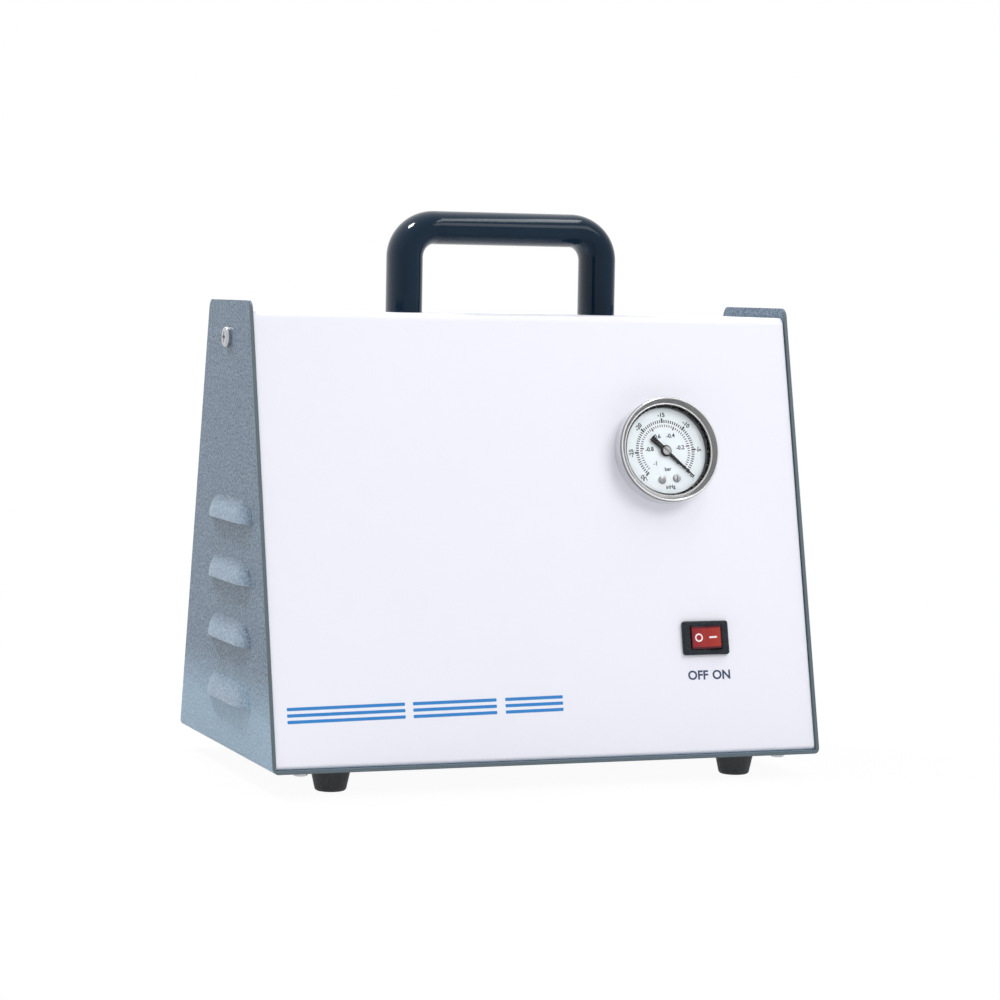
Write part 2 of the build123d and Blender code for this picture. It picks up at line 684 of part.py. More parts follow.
def make_inlet():
    save("inlet_body", inlet_place * make_inlet_body())
    save("inlet_pins", inlet_place * Compound(children=make_inlet_pins()))
    tray = Pos(0, 0, inlet_flange[2] - drawer_size[2]) * block(*drawer_size)
    face = extrude(RectangleRounded(drawer_size[0] + 3, drawer_size[1] + 2, 1), drawer_face)
    face = Pos(0, 0, inlet_flange[2]) * face
    grip = Pos(0, drawer_size[1] / 2, inlet_flange[2] + 0.9) * block(8, 3, 2)
    fuse_place = Pos(0, 1, -drawer_size[2] / 2)
    nest = fuse_place * Rot(0, 90, 0) * Cylinder(fuse_radius + hole_gap, fuse_length + seat_gap)
    opening = block(fuse_length + seat_gap, drawer_size[1], 2 * fuse_radius)
    nest += fuse_place * Pos(0, drawer_size[1] / 2, -fuse_radius) * opening
    save("fuse_drawer", inlet_place * Pos(0, -drawer_down, 0) * (tray + face - grip - nest))
    fuse = fuse_place * Rot(0, 90, 0) * Cylinder(fuse_radius, fuse_length)
    save("fuse", inlet_place * Pos(0, -drawer_down, 0) * fuse)


# ---- Motor ------------------------------------------------------------------
def make_bell():
    """End bell: open end at height 0, bearing seat in the far plate."""
    cup = disc(stator_radius, bell_length) - disc(stator_radius - bell_wall, bell_length - bell_plate)
    seat = bell_length - 1 - bearing_width
    bell = cup + Pos(0, 0, seat) * disc(bearing_radius + 3, bell_length - seat)
    bell -= Pos(0, 0, seat) * disc(bearing_radius, bearing_width)
    bell -= disc(shaft_radius + 1, bell_length + 1)
    vents = PolarLocations((bearing_radius + winding_outer) / 2 + 1, 8, start_angle=22.5)
    vent = Rot(0, 0, 90) * Pos(0, 0, seat) * extrude(SlotOverall(11, 5), bell_length)
    bell -= [place * vent for place in vents]
    screws = PolarLocations(tie_circle, 4, start_angle=45)
    return bell - [place * disc(small_hole, bell_length + 1) for place in screws]


def make_fan():
    hub = tube(fan_hub, shaft_radius, fan_width)
    blade = Pos(0, (fan_radius + fan_hub) / 2, fan_width / 2) * Rot(0, fan_pitch, 0)
    blade *= Box(1.6, fan_radius - fan_hub + 4, 1.4 * fan_width)
    blade &= tube(fan_radius, fan_hub - 1, fan_width)
    return hub + [Rot(0, 0, 360 / fan_blade_count * i) * blade for i in range(fan_blade_count)]


def make_motor():
    bell = make_bell()
    save("front_bell", shaft_line * Pos(0, 0, stator_start) * Rot(0, 180, 0) * (bell + pilot()))
    save("rear_bell", shaft_line * Pos(0, 0, stator_end) * bell)
    core = tube(stator_radius, stator_bore, stator_length)
    ties = PolarLocations(tie_circle, 4, start_angle=45)
    core -= [place * disc(small_hole, stator_length) for place in ties]
    save("motor_stator", shaft_line * Pos(0, 0, stator_start) * core)
    coil = tube(winding_outer, winding_inner, winding_length)
    coil = fillet(coil.edges().sort_by(Axis.Z)[-2:], 2.5)
    ends = [Pos(0, 0, stator_end) * coil, Pos(0, 0, stator_start) * Rot(180, 0, 0) * coil]
    save("motor_windings", shaft_line * Compound(children=ends))
    length = rear_bell_face - front_bell_face + housing_wall
    tie = Pos(0, 0, rear_bell_face) * screw(small_thread, length, pan_head)
    save("tie_screws", shaft_line * Compound(children=[p * tie for p in PolarLocations(tie_circle, 4, 45)]))
    bearing = tube(bearing_radius, shaft_radius + running_gap, bearing_width)
    seats = [front_bell_face + 1, rear_bell_face - 1 - bearing_width]
    save("motor_bearings", shaft_line * Compound(children=[Pos(0, 0, x) * bearing for x in seats]))
    left, right = head_x - rod_width / 2 - 1, rear_bell_face + fan_offset + fan_width + 2
    save("motor_shaft", shaft_line * Pos(0, 0, left) * disc(shaft_radius, right - left))
    ring_outer, ring_inner, ring_length = end_ring
    rotor = tube(stator_bore - air_gap, shaft_radius, stator_length)
    ring = tube(ring_outer, ring_inner, ring_length)
    rotor += Pos(0, 0, stator_length) * ring + Pos(0, 0, -ring_length) * ring
    save("motor_rotor", shaft_line * Pos(0, 0, stator_start) * rotor)
    save("cooling_fan", shaft_line * Pos(0, 0, rear_bell_face + fan_offset) * make_fan())


def pilot():
    """Spigot of the front bell that centres the crank housing."""
    return Pos(0, 0, bell_length) * tube(bearing_radius + 2, shaft_radius + 1, housing_wall)


# ---- Pump -------------------------------------------------------------------
def make_crank_housing():
    left = head_x - housing_half
    length = front_bell_face - left
    barrel = shaft_line * Pos(0, 0, left) * disc(barrel_radius, length)
    flange = shaft_line * Pos(0, 0, front_bell_face - housing_wall) * disc(stator_radius, housing_wall)
    tower = head_axis * Pos(0, 0, shaft_z) * disc(tower_radius, head_seat - shaft_z)
    collar = head_axis * Pos(0, 0, head_seat - housing_flange) * disc(head_radius, housing_flange)
    foot = head_axis * Pos(0, 0, cradle_base + cradle_plate) * block(28, 50, barrel_radius)
    housing = barrel + flange + tower + collar + foot
    housing -= shaft_line * Pos(0, 0, left - 1) * disc(barrel_bore, length - housing_wall + 1)
    housing -= head_axis * Pos(0, 0, shaft_z) * disc(tower_bore, head_seat)
    housing -= shaft_line * Pos(0, 0, left) * disc(bearing_radius + 2 + running_gap, length + 1)
    ties = [p * disc(small_thread, housing_wall) for p in PolarLocations(tie_circle, 4, 45)]
    housing -= [shaft_line * Pos(0, 0, front_bell_face - housing_wall) * tie for tie in ties]
    return housing - head_holes(head_seat - housing_flange, head_seat, large_thread)


def head_holes(low, high, radius):
    spots = PolarLocations(head_screw_circle, 4, start_angle=45)
    return [head_axis * Pos(0, 0, low) * place * disc(radius, high - low) for place in spots]


def make_eccentric():
    """Journal and counterweight; its own z runs along the shaft."""
    half = rod_width / 2
    journal = Pos(0, crank_throw, -half) * disc(journal_radius, rod_width + 0.1)
    shoulder = Pos(0, crank_throw, half + 0.1) * disc(journal_radius + 2, 1.9)
    weight = Pos(0, 0, half + 2) * disc(counterweight_radius, counterweight_width)
    weight -= Pos(0, counterweight_radius + 2, half) * block(far, 2 * counterweight_radius, far)
    hub = Pos(0, 0, half + 2) * disc(journal_radius + 2, counterweight_width)
    return journal + shoulder + weight + hub - Pos(0, 0, -half - 1) * disc(shaft_radius, far)


def make_rod():
    ring_radius = rod_bearing_radius + rod_ring
    rod = shaft_line * Pos(0, crank_throw, head_x - rod_width / 2) * disc(ring_radius, rod_width)
    platform_low = rod_top - 4
    web = Polyline((-10, pin_z), (10, pin_z), (6.5, platform_low), (-6.5, platform_low), close=True)
    rod += head_axis * extrude(Plane.YZ * make_face(web), rod_width / 2, both=True)
    rod += head_axis * Pos(0, 0, platform_low) * disc(clamp_radius, 4)
    low, high = pin_z + ring_radius + 2, platform_low - 4
    pocket = Polyline((-5.5, low), (5.5, low), (3.5, high), (-3.5, high), close=True)
    pocket = head_axis * Pos(rod_width / 2, 0, 0) * extrude(Plane.YZ * make_face(pocket), 3, both=True)
    rod -= [pocket, Pos(-rod_width, 0, 0) * pocket]
    rod -= shaft_line * Pos(0, crank_throw, head_x - rod_width) * disc(rod_bearing_radius, 2 * rod_width)
    return rod - head_axis * Pos(0, 0, rod_top - clamp_screw_reach) * disc(large_thread, far)


def make_diaphragm():
    top = diaphragm_thickness
    rubber = turned(
        (large_hole, rod_top),
        (clamp_radius, rod_top),
        (roll_radius, head_seat),
        (head_radius, head_seat),
        (head_radius, head_seat + top),
        (roll_radius, head_seat + top),
        (clamp_radius, rod_top + top),
        (large_hole, rod_top + top),
    )
    rubber = head_axis * rubber
    return rubber - head_holes(head_seat, plate_low, large_hole)


def valve_at(side):
    return head_axis * Pos(side * port_offset * 0.75, 0, 0)


def make_valve_plate():
    plate = head_axis * Pos(0, 0, plate_low) * disc(head_radius, valve_plate_thickness)
    ceiling = plate_low + chamber_height
    chamber = turned((0, plate_low - 1), (roll_radius, plate_low - 1), (roll_radius, plate_low),
                     (roll_radius - 5, ceiling), (0, ceiling))
    plate -= head_axis * chamber
    plate -= valve_at(1) * Pos(0, 0, ceiling - 1) * disc(valve_cap + 0.5, 3)
    for side in (1, -1):
        plate -= valve_at(side) * Pos(0, 0, ceiling) * disc(valve_stem + hole_gap, far)
        ring = PolarLocations((valve_cap + valve_stem) / 2, 4)
        plate -= [valve_at(side) * Pos(0, 0, ceiling) * place * disc(valve_port, far) for place in ring]
    return plate - head_holes(plate_low, plate_high, large_hole)


def make_umbrella(thickness):
    """Rubber flap with its stem upward and its cap hanging below height 0."""
    cap = turned((0, -1.6), (2, -1.6), (valve_cap, -0.6), (valve_cap, 0), (0, 0))
    return cap + disc(valve_stem, thickness) + Pos(0, 0, thickness) * disc(valve_stem + 0.8, 1)


def make_gasket():
    ring = tube(head_radius, chamber_radius, gasket_thickness)
    ring += block(chamber_web, 2 * chamber_radius + 1, gasket_thickness)
    ring = head_axis * Pos(0, 0, plate_high) * ring
    return ring - head_holes(plate_high, cover_low, large_hole)


def make_head_cover():
    cover = disc(head_radius, cover_flange_thickness) + disc(dome_radius, dome_height)
    cover = fillet(cover.edges().group_by(Axis.Z)[-1], 2)
    chambers = disc(chamber_radius, chamber_depth) - block(chamber_web, far, far)
    cover -= chambers
    for row in range(fin_rows):
        offset = fitting_radius + 3 + row * fin_pitch
        length = 2 * math.sqrt((dome_radius - 3) ** 2 - offset**2)
        fin = Pos(0, offset, dome_height) * block(length, fin_thickness, fin_height)
        cover += [fin, mirror(fin, Plane.XZ)]
    cover -= [Pos(x * port_offset, 0, 0) * disc(fitting_radius, far) for x in (1, -1)]
    cover = head_axis * Pos(0, 0, cover_low) * cover
    return cover - head_holes(cover_low, cover_low + cover_flange_thickness, large_hole)


def make_pump():
    save("crank_housing", make_crank_housing())
    lid = disc(barrel_radius, housing_wall) + Pos(0, 0, housing_wall) * tube(barrel_bore - 0.1, 20, 2)
    save("crank_cover", shaft_line * Pos(0, 0, head_x - housing_half - housing_wall) * lid)
    save("eccentric", shaft_line * Pos(0, 0, head_x) * make_eccentric())
    bearing = tube(rod_bearing_radius, journal_radius + running_gap, rod_width)
    save("rod_bearing", shaft_line * Pos(0, crank_throw, head_x - rod_width / 2) * bearing)
    save("connecting_rod", make_rod())
    save("diaphragm", make_diaphragm())
    clamp = disc(clamp_radius - 2, clamp_thickness)
    clamp = fillet(clamp.edges().sort_by(Axis.Z)[-1], 1)
    sunk = turned((0, 0), (large_thread, 0), (large_thread + 2, clamp_thickness), (0, clamp_thickness))
    seat = head_axis * Pos(0, 0, rod_top + diaphragm_thickness)
    shank = diaphragm_thickness + clamp_screw_reach
    clamp_screw = sunk + Pos(0, 0, -shank) * disc(large_thread, shank)
    save("diaphragm_clamp", seat * Compound(children=[clamp - sunk, clamp_screw]))
    save("valve_plate", make_valve_plate())
    ceiling = plate_low + chamber_height
    inlet_flap = valve_at(1) * Pos(0, 0, ceiling + 2) * make_umbrella(plate_high - ceiling - 2)
    outlet_flap = valve_at(-1) * Pos(0, 0, plate_high) * Rot(180, 0, 0) * make_umbrella(plate_high - ceiling)
    save("umbrella_valves", Compound(children=[inlet_flap, outlet_flap]))
    save("head_gasket", make_gasket())
    save("head_cover", make_head_cover())
    seat_z = cover_low + cover_flange_thickness
    length = seat_z - head_seat + housing_flange
    bolt = screw(large_thread, length, head_screw_head)
    spots = PolarLocations(head_screw_circle, 4, start_angle=45)
    save("head_screws", Compound(children=[head_axis * Pos(0, 0, seat_z) * place * bolt for place in spots]))


# ---- Pipework ---------------------------------------------------------------
def nozzle_place(side):
    return rear_face * Pos(-(head_x + side * port_offset), nozzle_v, 0)


def make_nozzle():
    tip = nozzle_crest_count * crest_pitch + 3
    outer = Pos(0, 0, nozzle_flange) * barb(hose_root, hose_crest, nozzle_crest_count, tip, nozzle_bore)
    flange = chamfer(hexagon(nozzle_flats, nozzle_flange).edges().group_by(Axis.Z)[-1], 0.8)
    neck = Pos(0, 0, -neck_length) * disc(fitting_radius, neck_length)
    inner = barb(line_root, line_crest, 2, 2 * crest_pitch + 1, nozzle_bore)
    inner = Pos(0, 0, -neck_length) * Rot(180, 0, 0) * inner
    bore = Pos(0, 0, -neck_length - 1) * disc(nozzle_bore, neck_length + nozzle_flange + 2)
    return outer + flange + neck + inner - bore


def make_elbow(side, branch):
    """Corner fitting: threads into the head cover and points square to the rear panel."""
    corner = Pos(head_x + side * port_offset, 0, elbow_z)
    thread = dome_height - chamber_depth
    riser = corner * Pos(0, 0, -fitting_rise - thread) * disc(fitting_radius, fitting_rise + thread)
    out = nozzle_place(side) * Pos(0, 0, -nozzle_reach)
    leg = out * disc(fitting_radius, 7)
    tail = out * Pos(0, 0, 7) * barb(line_root, line_crest, 2, 2 * crest_pitch + 1, nozzle_bore)
    fitting = riser + corner * Sphere(fitting_radius) + leg
    if branch:
        arm = corner * Rot(0, 90, 0)
        fitting += arm * disc(fitting_radius - 1, 7)
        fitting += arm * Pos(0, 0, 7) * barb(small_root, small_crest, 2, 2 * crest_pitch + 1, small_bore)
        fitting -= arm * disc(small_bore, far)
    fitting += tail
    fitting -= corner * Pos(0, 0, -far) * disc(nozzle_bore, far)
    return fitting - out * disc(nozzle_bore, far)


def make_gauge_hose():
    """Soft tube from the tee, along the case and down to the gauge's stem."""
    start = Vector(head_x + port_offset + 9, 0, elbow_z)
    stem_tip = (gauge_place * Pos(0, 0, -case_depth - 8)).position
    outward = (gauge_place * Pos(0, 0, -case_depth - stem_length - 22)).position
    run = outward.X - start.X
    points = [start, start + Vector(0.34 * run, 0, 0), start + Vector(0.71 * run, 12, -6), outward, stem_tip]
    path = FilletPolyline(*points, radius=[0.22 * run, 0.22 * run, 12])
    section = Circle(small_crest + small_wall) - Circle(small_crest + hose_slack)
    return sweep(Plane(origin=path @ 0, z_dir=path % 0) * section, path=path)


def make_pipework():
    nozzle = make_nozzle()
    save("hose_nozzles", Compound(children=[nozzle_place(side) * nozzle for side in (1, -1)]))
    nut = Pos(0, 0, -cover_sheet - 4) * hex_nut(nozzle_flats, 4, fitting_radius)
    save("nozzle_nuts", Compound(children=[nozzle_place(side) * nut for side in (1, -1)]))
    save("intake_tee", make_elbow(1, True))
    save("exhaust_elbow", make_elbow(-1, False))
    start, end = -nozzle_reach + 7.5, -neck_length - 0.5
    hose = Pos(0, 0, start) * tube(line_crest + hose_wall, line_crest + hose_slack, end - start)
    save("line_hoses", Compound(children=[nozzle_place(side) * hose for side in (1, -1)]))
    save("gauge_hose", make_gauge_hose())


# ---- Cradle and electrics ---------------------------------------------------
def make_cradle():
    left, right = isolator_xs[0] - 10, isolator_xs[1] + 10
    plate = Pos((left + right) / 2, 0, cradle_base) * block(right - left, 2 * isolator_y + 20, cradle_plate)
    plate = fillet(plate.edges().filter_by(Axis.Z), 6)
    rib = block(saddle_width, 70, saddle_top - cradle_base)
    saddles = [Pos(x, 0, cradle_base) * rib for x in (stator_start + 9, stator_end - 15)]
    cradle = plate + saddles - shaft_line * Pos(0, 0, -far / 2) * disc(stator_radius, far)
    return cradle - [place * disc(small_hole, far) for place in isolator_places()]


def isolator_places():
    return [Pos(x, y * isolator_y, 0) for x in isolator_xs for y in (1, -1)]


def make_cradle_and_electrics():
    save("motor_cradle", make_cradle())
    rubber = tube(isolator_radius, small_hole, isolator_height)
    rubber -= Pos(0, 0, isolator_height / 2) * tube(isolator_radius + 1, isolator_radius - 1.5, 2.5)
    save("isolators", Compound(children=[p * Pos(0, 0, base_top) * rubber for p in isolator_places()]))
    nut = hex_nut(nut_across_flats, nut_height, small_thread)
    nuts = [place * Pos(0, 0, cradle_base + cradle_plate) * nut for place in isolator_places()]
    nuts += [Pos(x * foot_x, y * foot_y, base_top) * nut for x, y in corners]
    save("lock_nuts", Compound(children=nuts))
    can = disc(capacitor_radius, capacitor_height)
    can = fillet(can.edges(), 1.5)
    can += [Pos(x, 0, capacitor_height) * block(0.8, 6.3, 8) for x in (-5, 5)]
    save("run_capacitor", Pos(capacitor_x, 0, base_top) * can)
    strap = tube(capacitor_radius + strap_thickness, capacitor_radius, strap_width)
    reach = capacitor_radius + 12
    foot = Pos(-reach / 2, 0, 0) * block(reach, 12, strap_thickness) - disc(capacitor_radius + 0.5, 5)
    save("capacitor_clip", Pos(capacitor_x, 0, base_top) * (strap + foot))
    save("wiring", Compound(children=make_wiring()))


def lead(*points):
    """One insulated wire through the points, with bends as large as its runs allow."""
    runs = [(points[i + 1] - points[i]).length for i in range(len(points) - 1)]
    radii = []
    for i in range(1, len(points) - 1):
        turn = (points[i] - points[i - 1]).get_angle(points[i + 1] - points[i])
        radii.append(0.45 * min(runs[i - 1], runs[i]) / math.tan(math.radians(turn) / 2))
    path = FilletPolyline(*points, radius=radii)
    return sweep(Plane(origin=path @ 0, z_dir=path % 0) * Circle(wire_radius), path=path)


def make_wiring():
    """Two leads from the inlet to the switch, and one each from switch and capacitor to the motor."""
    pin_low = socket_up - pin_rise / 2
    tail = -inlet_body[2] - 7 - wire_radius
    blade_end = -switch_body[2] - 8 - wire_radius
    wires = []
    for pin, terminal, lane in ((pin_spacing / 2, -7, 0), (-pin_spacing / 2, 7, 2)):
        start = (inlet_place * Pos(pin, pin_low, tail)).position
        end = (switch_place * Pos(terminal, 0, blade_end)).position
        middle = Vector(inlet_x - 12 + 3 * lane, 0, (start.Z + end.Z) / 2 - 6 - lane)
        wires.append(lead(start, start + Vector(0, -8, 1), middle, end + Vector(0, 8, -1), end))
    top = shaft_z + stator_radius
    entry = Vector(stator_end - 8, 0, top + wire_radius)
    for start, side in (
        (Vector(capacitor_x - 5, 0, base_top + capacitor_height + 8 + wire_radius), 6),
        ((switch_place * Pos(0, 0, blade_end)).position, -6),
    ):
        landing = entry + Vector(0, side, 0)
        over = Vector(rear_bell_face + fan_offset + fan_width + 6, side * 3, top + 10)
        wires.append(lead(start, start + Vector(-2, 4, 16), over, landing + Vector(14, side, 3), landing))
    return wires


make_case()
make_gauge()
make_switch()
make_inlet()
make_motor()
make_pump()
make_pipework()
make_cradle_and_electrics()
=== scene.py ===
import json
import math

import bpy
from mathutils import Matrix, Quaternion, Vector


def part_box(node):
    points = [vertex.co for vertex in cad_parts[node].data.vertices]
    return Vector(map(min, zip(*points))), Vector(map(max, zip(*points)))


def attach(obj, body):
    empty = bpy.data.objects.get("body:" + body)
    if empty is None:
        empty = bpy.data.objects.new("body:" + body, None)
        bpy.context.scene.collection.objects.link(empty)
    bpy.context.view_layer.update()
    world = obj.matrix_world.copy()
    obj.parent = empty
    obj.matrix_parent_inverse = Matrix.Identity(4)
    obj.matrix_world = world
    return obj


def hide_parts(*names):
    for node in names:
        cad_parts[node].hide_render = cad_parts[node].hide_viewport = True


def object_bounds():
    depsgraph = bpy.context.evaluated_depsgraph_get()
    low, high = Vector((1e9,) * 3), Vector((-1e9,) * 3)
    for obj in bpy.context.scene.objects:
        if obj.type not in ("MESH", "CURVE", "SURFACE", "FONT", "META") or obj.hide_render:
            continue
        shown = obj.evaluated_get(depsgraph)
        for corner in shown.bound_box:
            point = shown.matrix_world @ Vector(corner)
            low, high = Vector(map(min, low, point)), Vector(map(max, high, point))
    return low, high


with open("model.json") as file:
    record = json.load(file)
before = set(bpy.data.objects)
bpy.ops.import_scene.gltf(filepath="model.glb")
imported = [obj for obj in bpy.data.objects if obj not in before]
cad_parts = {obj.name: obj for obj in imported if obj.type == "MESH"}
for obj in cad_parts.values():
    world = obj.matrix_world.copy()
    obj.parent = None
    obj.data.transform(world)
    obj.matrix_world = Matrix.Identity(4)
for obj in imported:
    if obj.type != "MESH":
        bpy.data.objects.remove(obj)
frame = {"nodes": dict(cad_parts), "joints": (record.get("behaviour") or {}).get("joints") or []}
cad_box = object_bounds()
nodes = frame["nodes"]
joints = {joint["name"]: joint for joint in frame["joints"]}
bpy.ops.object.select_all(action="DESELECT")

# ---- Table and light ---------------------------------------------------------
# The pump stands on a pale table in a white surround. A large soft lamp lights the
# front, a small one above the left lights the side plate, a strip the handle.
scene = bpy.context.scene
scene.view_settings.view_transform = "Standard"

view_yaw, view_pitch, view_roll = math.radians(20.42), math.radians(3.93), math.radians(0.99)
view_target = Vector((0.0012, 0.0, 0.1207))
view_distance = 1.4106

forward = Vector((math.sin(view_yaw), math.cos(view_yaw), -math.tan(view_pitch))).normalized()
camera = bpy.data.objects.new("camera", bpy.data.cameras.new("camera"))
camera.data.lens = 111.28
camera.data.sensor_width = 36.0
camera.rotation_mode = "QUATERNION"
camera.rotation_quaternion = forward.to_track_quat("-Z", "Y") @ Quaternion((0, 0, 1), view_roll)
camera.location = view_target - forward * view_distance
scene.collection.objects.link(camera)
scene.camera = camera


def soft_lamp(name, place, size, watts, colour):
    """A rectangular lamp turned to the middle of the pump."""
    lamp = bpy.data.objects.new(name, bpy.data.lights.new(name, "AREA"))
    lamp.data.shape = "RECTANGLE"
    lamp.data.size, lamp.data.size_y = size
    lamp.data.energy = watts
    lamp.data.color = colour
    lamp.location = place
    lamp.rotation_euler = (view_target - Vector(place)).to_track_quat("-Z", "Y").to_euler()
    scene.collection.objects.link(lamp)


soft_lamp("key_lamp", place=(0.75, -1.15, 1.25), size=(1.1, 0.8), watts=13.2, colour=(1.0, 0.99, 0.98))
soft_lamp("plate_lamp", place=(-0.52, 0.5, 1.15), size=(0.2, 0.2), watts=12.0, colour=(0.98, 0.99, 1.0))
soft_lamp("strip_lamp", place=(0.38, -0.12, 1.35), size=(1.1, 0.14), watts=4.5, colour=(1.0, 1.0, 1.0))


def feed(tree, socket, value):
    """Sets a socket to a value, or links it to an output."""
    if isinstance(value, bpy.types.NodeSocket):
        tree.links.new(value, socket)
    else:
        socket.default_value = value


def add(tree, kind, **sockets):
    """A node with the named inputs set to a value or fed from an output."""
    node = tree.nodes.new("ShaderNode" + kind)
    for name, value in sockets.items():
        feed(tree, node.inputs[name.replace("_", " ")], value)
    return node


def spread(tree, value, low, high, start=0.0, end=1.0):
    """value from start..end turned into low..high."""
    node = add(tree, "MapRange", Value=value, From_Min=start, From_Max=end, To_Min=low, To_Max=high)
    return node.outputs[0]


def figure(tree, operation, first, second=0.0):
    """Sum, product or the like of two values or outputs."""
    node = tree.nodes.new("ShaderNodeMath")
    node.operation = operation
    feed(tree, node.inputs[0], first)
    feed(tree, node.inputs[1], second)
    return node.outputs[0]


def vector_figure(tree, operation, first, second=(0.0, 0.0, 0.0)):
    """Difference of two vectors, or their dot product or the first one's length."""
    node = add(tree, "VectorMath", Vector=first)
    node.operation = operation
    node.inputs[1].default_value = second
    return node.outputs["Vector" if operation == "SUBTRACT" else "Value"]


def in_object(tree):
    """Where a point of the surface lies, in metres."""
    return add(tree, "TexCoord").outputs["Object"]


def seen(tree):
    """1 where the eye, a reflection or a view through glass looks, else 0."""
    path = tree.nodes.new("ShaderNodeLightPath").outputs
    total = figure(tree, "ADD", path["Is Camera Ray"], path["Is Glossy Ray"])
    return figure(tree, "MINIMUM", figure(tree, "ADD", total, path["Is Transmission Ray"]), 1.0)


def mix_shaders(tree, share, first, second, output):
    """Two shaders mixed by a share and led to the surface of an output node."""
    mixed = add(tree, "MixShader", Fac=share)
    tree.links.new(first.outputs[0], mixed.inputs[1])
    tree.links.new(second.outputs[0], mixed.inputs[2])
    tree.links.new(mixed.outputs[0], output.inputs["Surface"])


world = bpy.data.worlds.new("surround")
scene.world = world
world.use_nodes = True
tree = world.node_tree
tree.nodes.clear()
upward = add(tree, "SeparateXYZ", Vector=add(tree, "TexCoord").outputs["Generated"]).outputs["Z"]
sky_strength = spread(tree, upward, 0.16, 0.66, start=-0.6, end=0.8)
sky = add(tree, "Background", Color=(0.96, 0.98, 1.0, 1), Strength=sky_strength)
backdrop = add(tree, "Background", Color=(1, 1, 1, 1))
mix_shaders(tree, seen(tree), sky, backdrop, tree.nodes.new("ShaderNodeOutputWorld"))

bpy.ops.mesh.primitive_plane_add(size=8.0, location=(0, 0, cad_box[0][2]))
table = bpy.context.object
table.name = "table"
table_top = bpy.data.materials.new("table_top")
table_top.use_nodes = True
tree = table_top.node_tree
matt = tree.nodes["Principled BSDF"]
matt.inputs["Base Color"].default_value = (0.9, 0.9, 0.9, 1)
matt.inputs["Roughness"].default_value = 0.9
glow = tree.nodes.new("ShaderNodeEmission")
from_pump = vector_figure(tree, "LENGTH", in_object(tree))
paleness = spread(tree, from_pump, 0.95, 1.0, start=0.15, end=0.5)
pale_share = figure(tree, "MULTIPLY", seen(tree), paleness)
mix_shaders(tree, pale_share, matt, glow, tree.nodes["Material Output"])
table.data.materials.append(table_top)

# ---- Chassis -----------------------------------------------------------------
# The base and the two side plates are one folded steel sheet, 1.5 mm thick, with
# pressed louvres. It is sprayed blue-grey with a hammered finish and baked.
panel_out = Vector(joints["pointer_turn"]["axis"])
hammer_dark, hammer_light = (0.045, 0.078, 0.11), (0.175, 0.235, 0.31)
# Painted reflection of the table, lighter at the foot of the plate.
foot_reflection_tint = (0.3, 0.43, 0.55)
# Painted highlight on the louvres' ridges.
louvre_highlight_tint = (0.29, 0.365, 0.44)
# Painted shade on the sheet's front edge.
edge_shade_tint = (0.085, 0.115, 0.135)
# Where painted light changes the colour: heights at the foot of the plate, where a
# painted reflection of the table fades, insets from the louvres' reach, where their
# painted highlight starts, and from the sheet's front edge, where its painted shade starts.
foot_reflection_heights = (0.030, 0.052)
louvre_highlight_insets = (0.0034, 0.0008)
edge_shade_insets = (0.0012, 0.0004)


def level(name):
    """How far a node stands out along the panel's normal."""
    return max(corner.co @ panel_out for corner in nodes[name].data.vertices)


def new_finish(name, colour, roughness, metallic=0.0, coat=0.0, shine=0.5):
    """A finish with its plain sockets set, ready for its pattern."""
    finish = bpy.data.materials.new(name)
    finish.use_nodes = True
    shader = finish.node_tree.nodes["Principled BSDF"]
    shader.inputs["Base Color"].default_value = (*colour, 1)
    shader.inputs["Roughness"].default_value = roughness
    shader.inputs["Metallic"].default_value = metallic
    shader.inputs["Coat Weight"].default_value = coat
    shader.inputs["Specular IOR Level"].default_value = shine
    shader.inputs["Coat Roughness"].default_value = 0.08
    return finish, finish.node_tree, shader


def noise(tree, scale, detail, roughness=0.5):
    """An even random pattern on the piece, from 0 to 1."""
    texture = add(tree, "TexNoise", Vector=in_object(tree), Scale=scale, Detail=detail, Roughness=roughness)
    return texture.outputs[0]


def rise(tree, value, start, end):
    """0 before start, 1 past end."""
    return spread(tree, value, 0.0, 1.0, start, end)


def fall(tree, value, start, end):
    """1 before start, 0 past end."""
    return spread(tree, value, 1.0, 0.0, start, end)


def blend_colours(tree, share, first, second):
    """The first colour where the share is 0, the second where it is 1."""
    mix = tree.nodes.new("ShaderNodeMix")
    mix.data_type = "RGBA"
    feed(tree, mix.inputs[0], share)
    for socket, colour in ((mix.inputs[6], first), (mix.inputs[7], second)):
        feed(tree, socket, (*colour, 1) if isinstance(colour, tuple) else colour)
    return mix.outputs[2]


def colour_by(tree, shader, share, first, second):
    """The shader's colour, blended from two by a share."""
    tree.links.new(blend_colours(tree, share, first, second), shader.inputs["Base Color"])


def roughen_by(tree, shader, share, low, high, start=0.0, end=1.0):
    """The shader's roughness, from low to high as the share goes from start to end."""
    tree.links.new(spread(tree, share, low, high, start, end), shader.inputs["Roughness"])


def relief(tree, shader, height, depth, edge=0.0):
    """Bumps of the given depth, and softened edges, both in metres."""
    bump = add(tree, "Bump", Strength=1.0, Distance=depth, Height=height)
    if edge:
        rounding = add(tree, "Bevel", Radius=edge)
        rounding.samples = 4
        tree.links.new(rounding.outputs[0], bump.inputs["Normal"])
    tree.links.new(bump.outputs[0], shader.inputs["Normal"])


def dress(finish, *names):
    """Gives CAD nodes their finish."""
    for name in names:
        for slot in nodes[name].material_slots:
            slot.material = finish


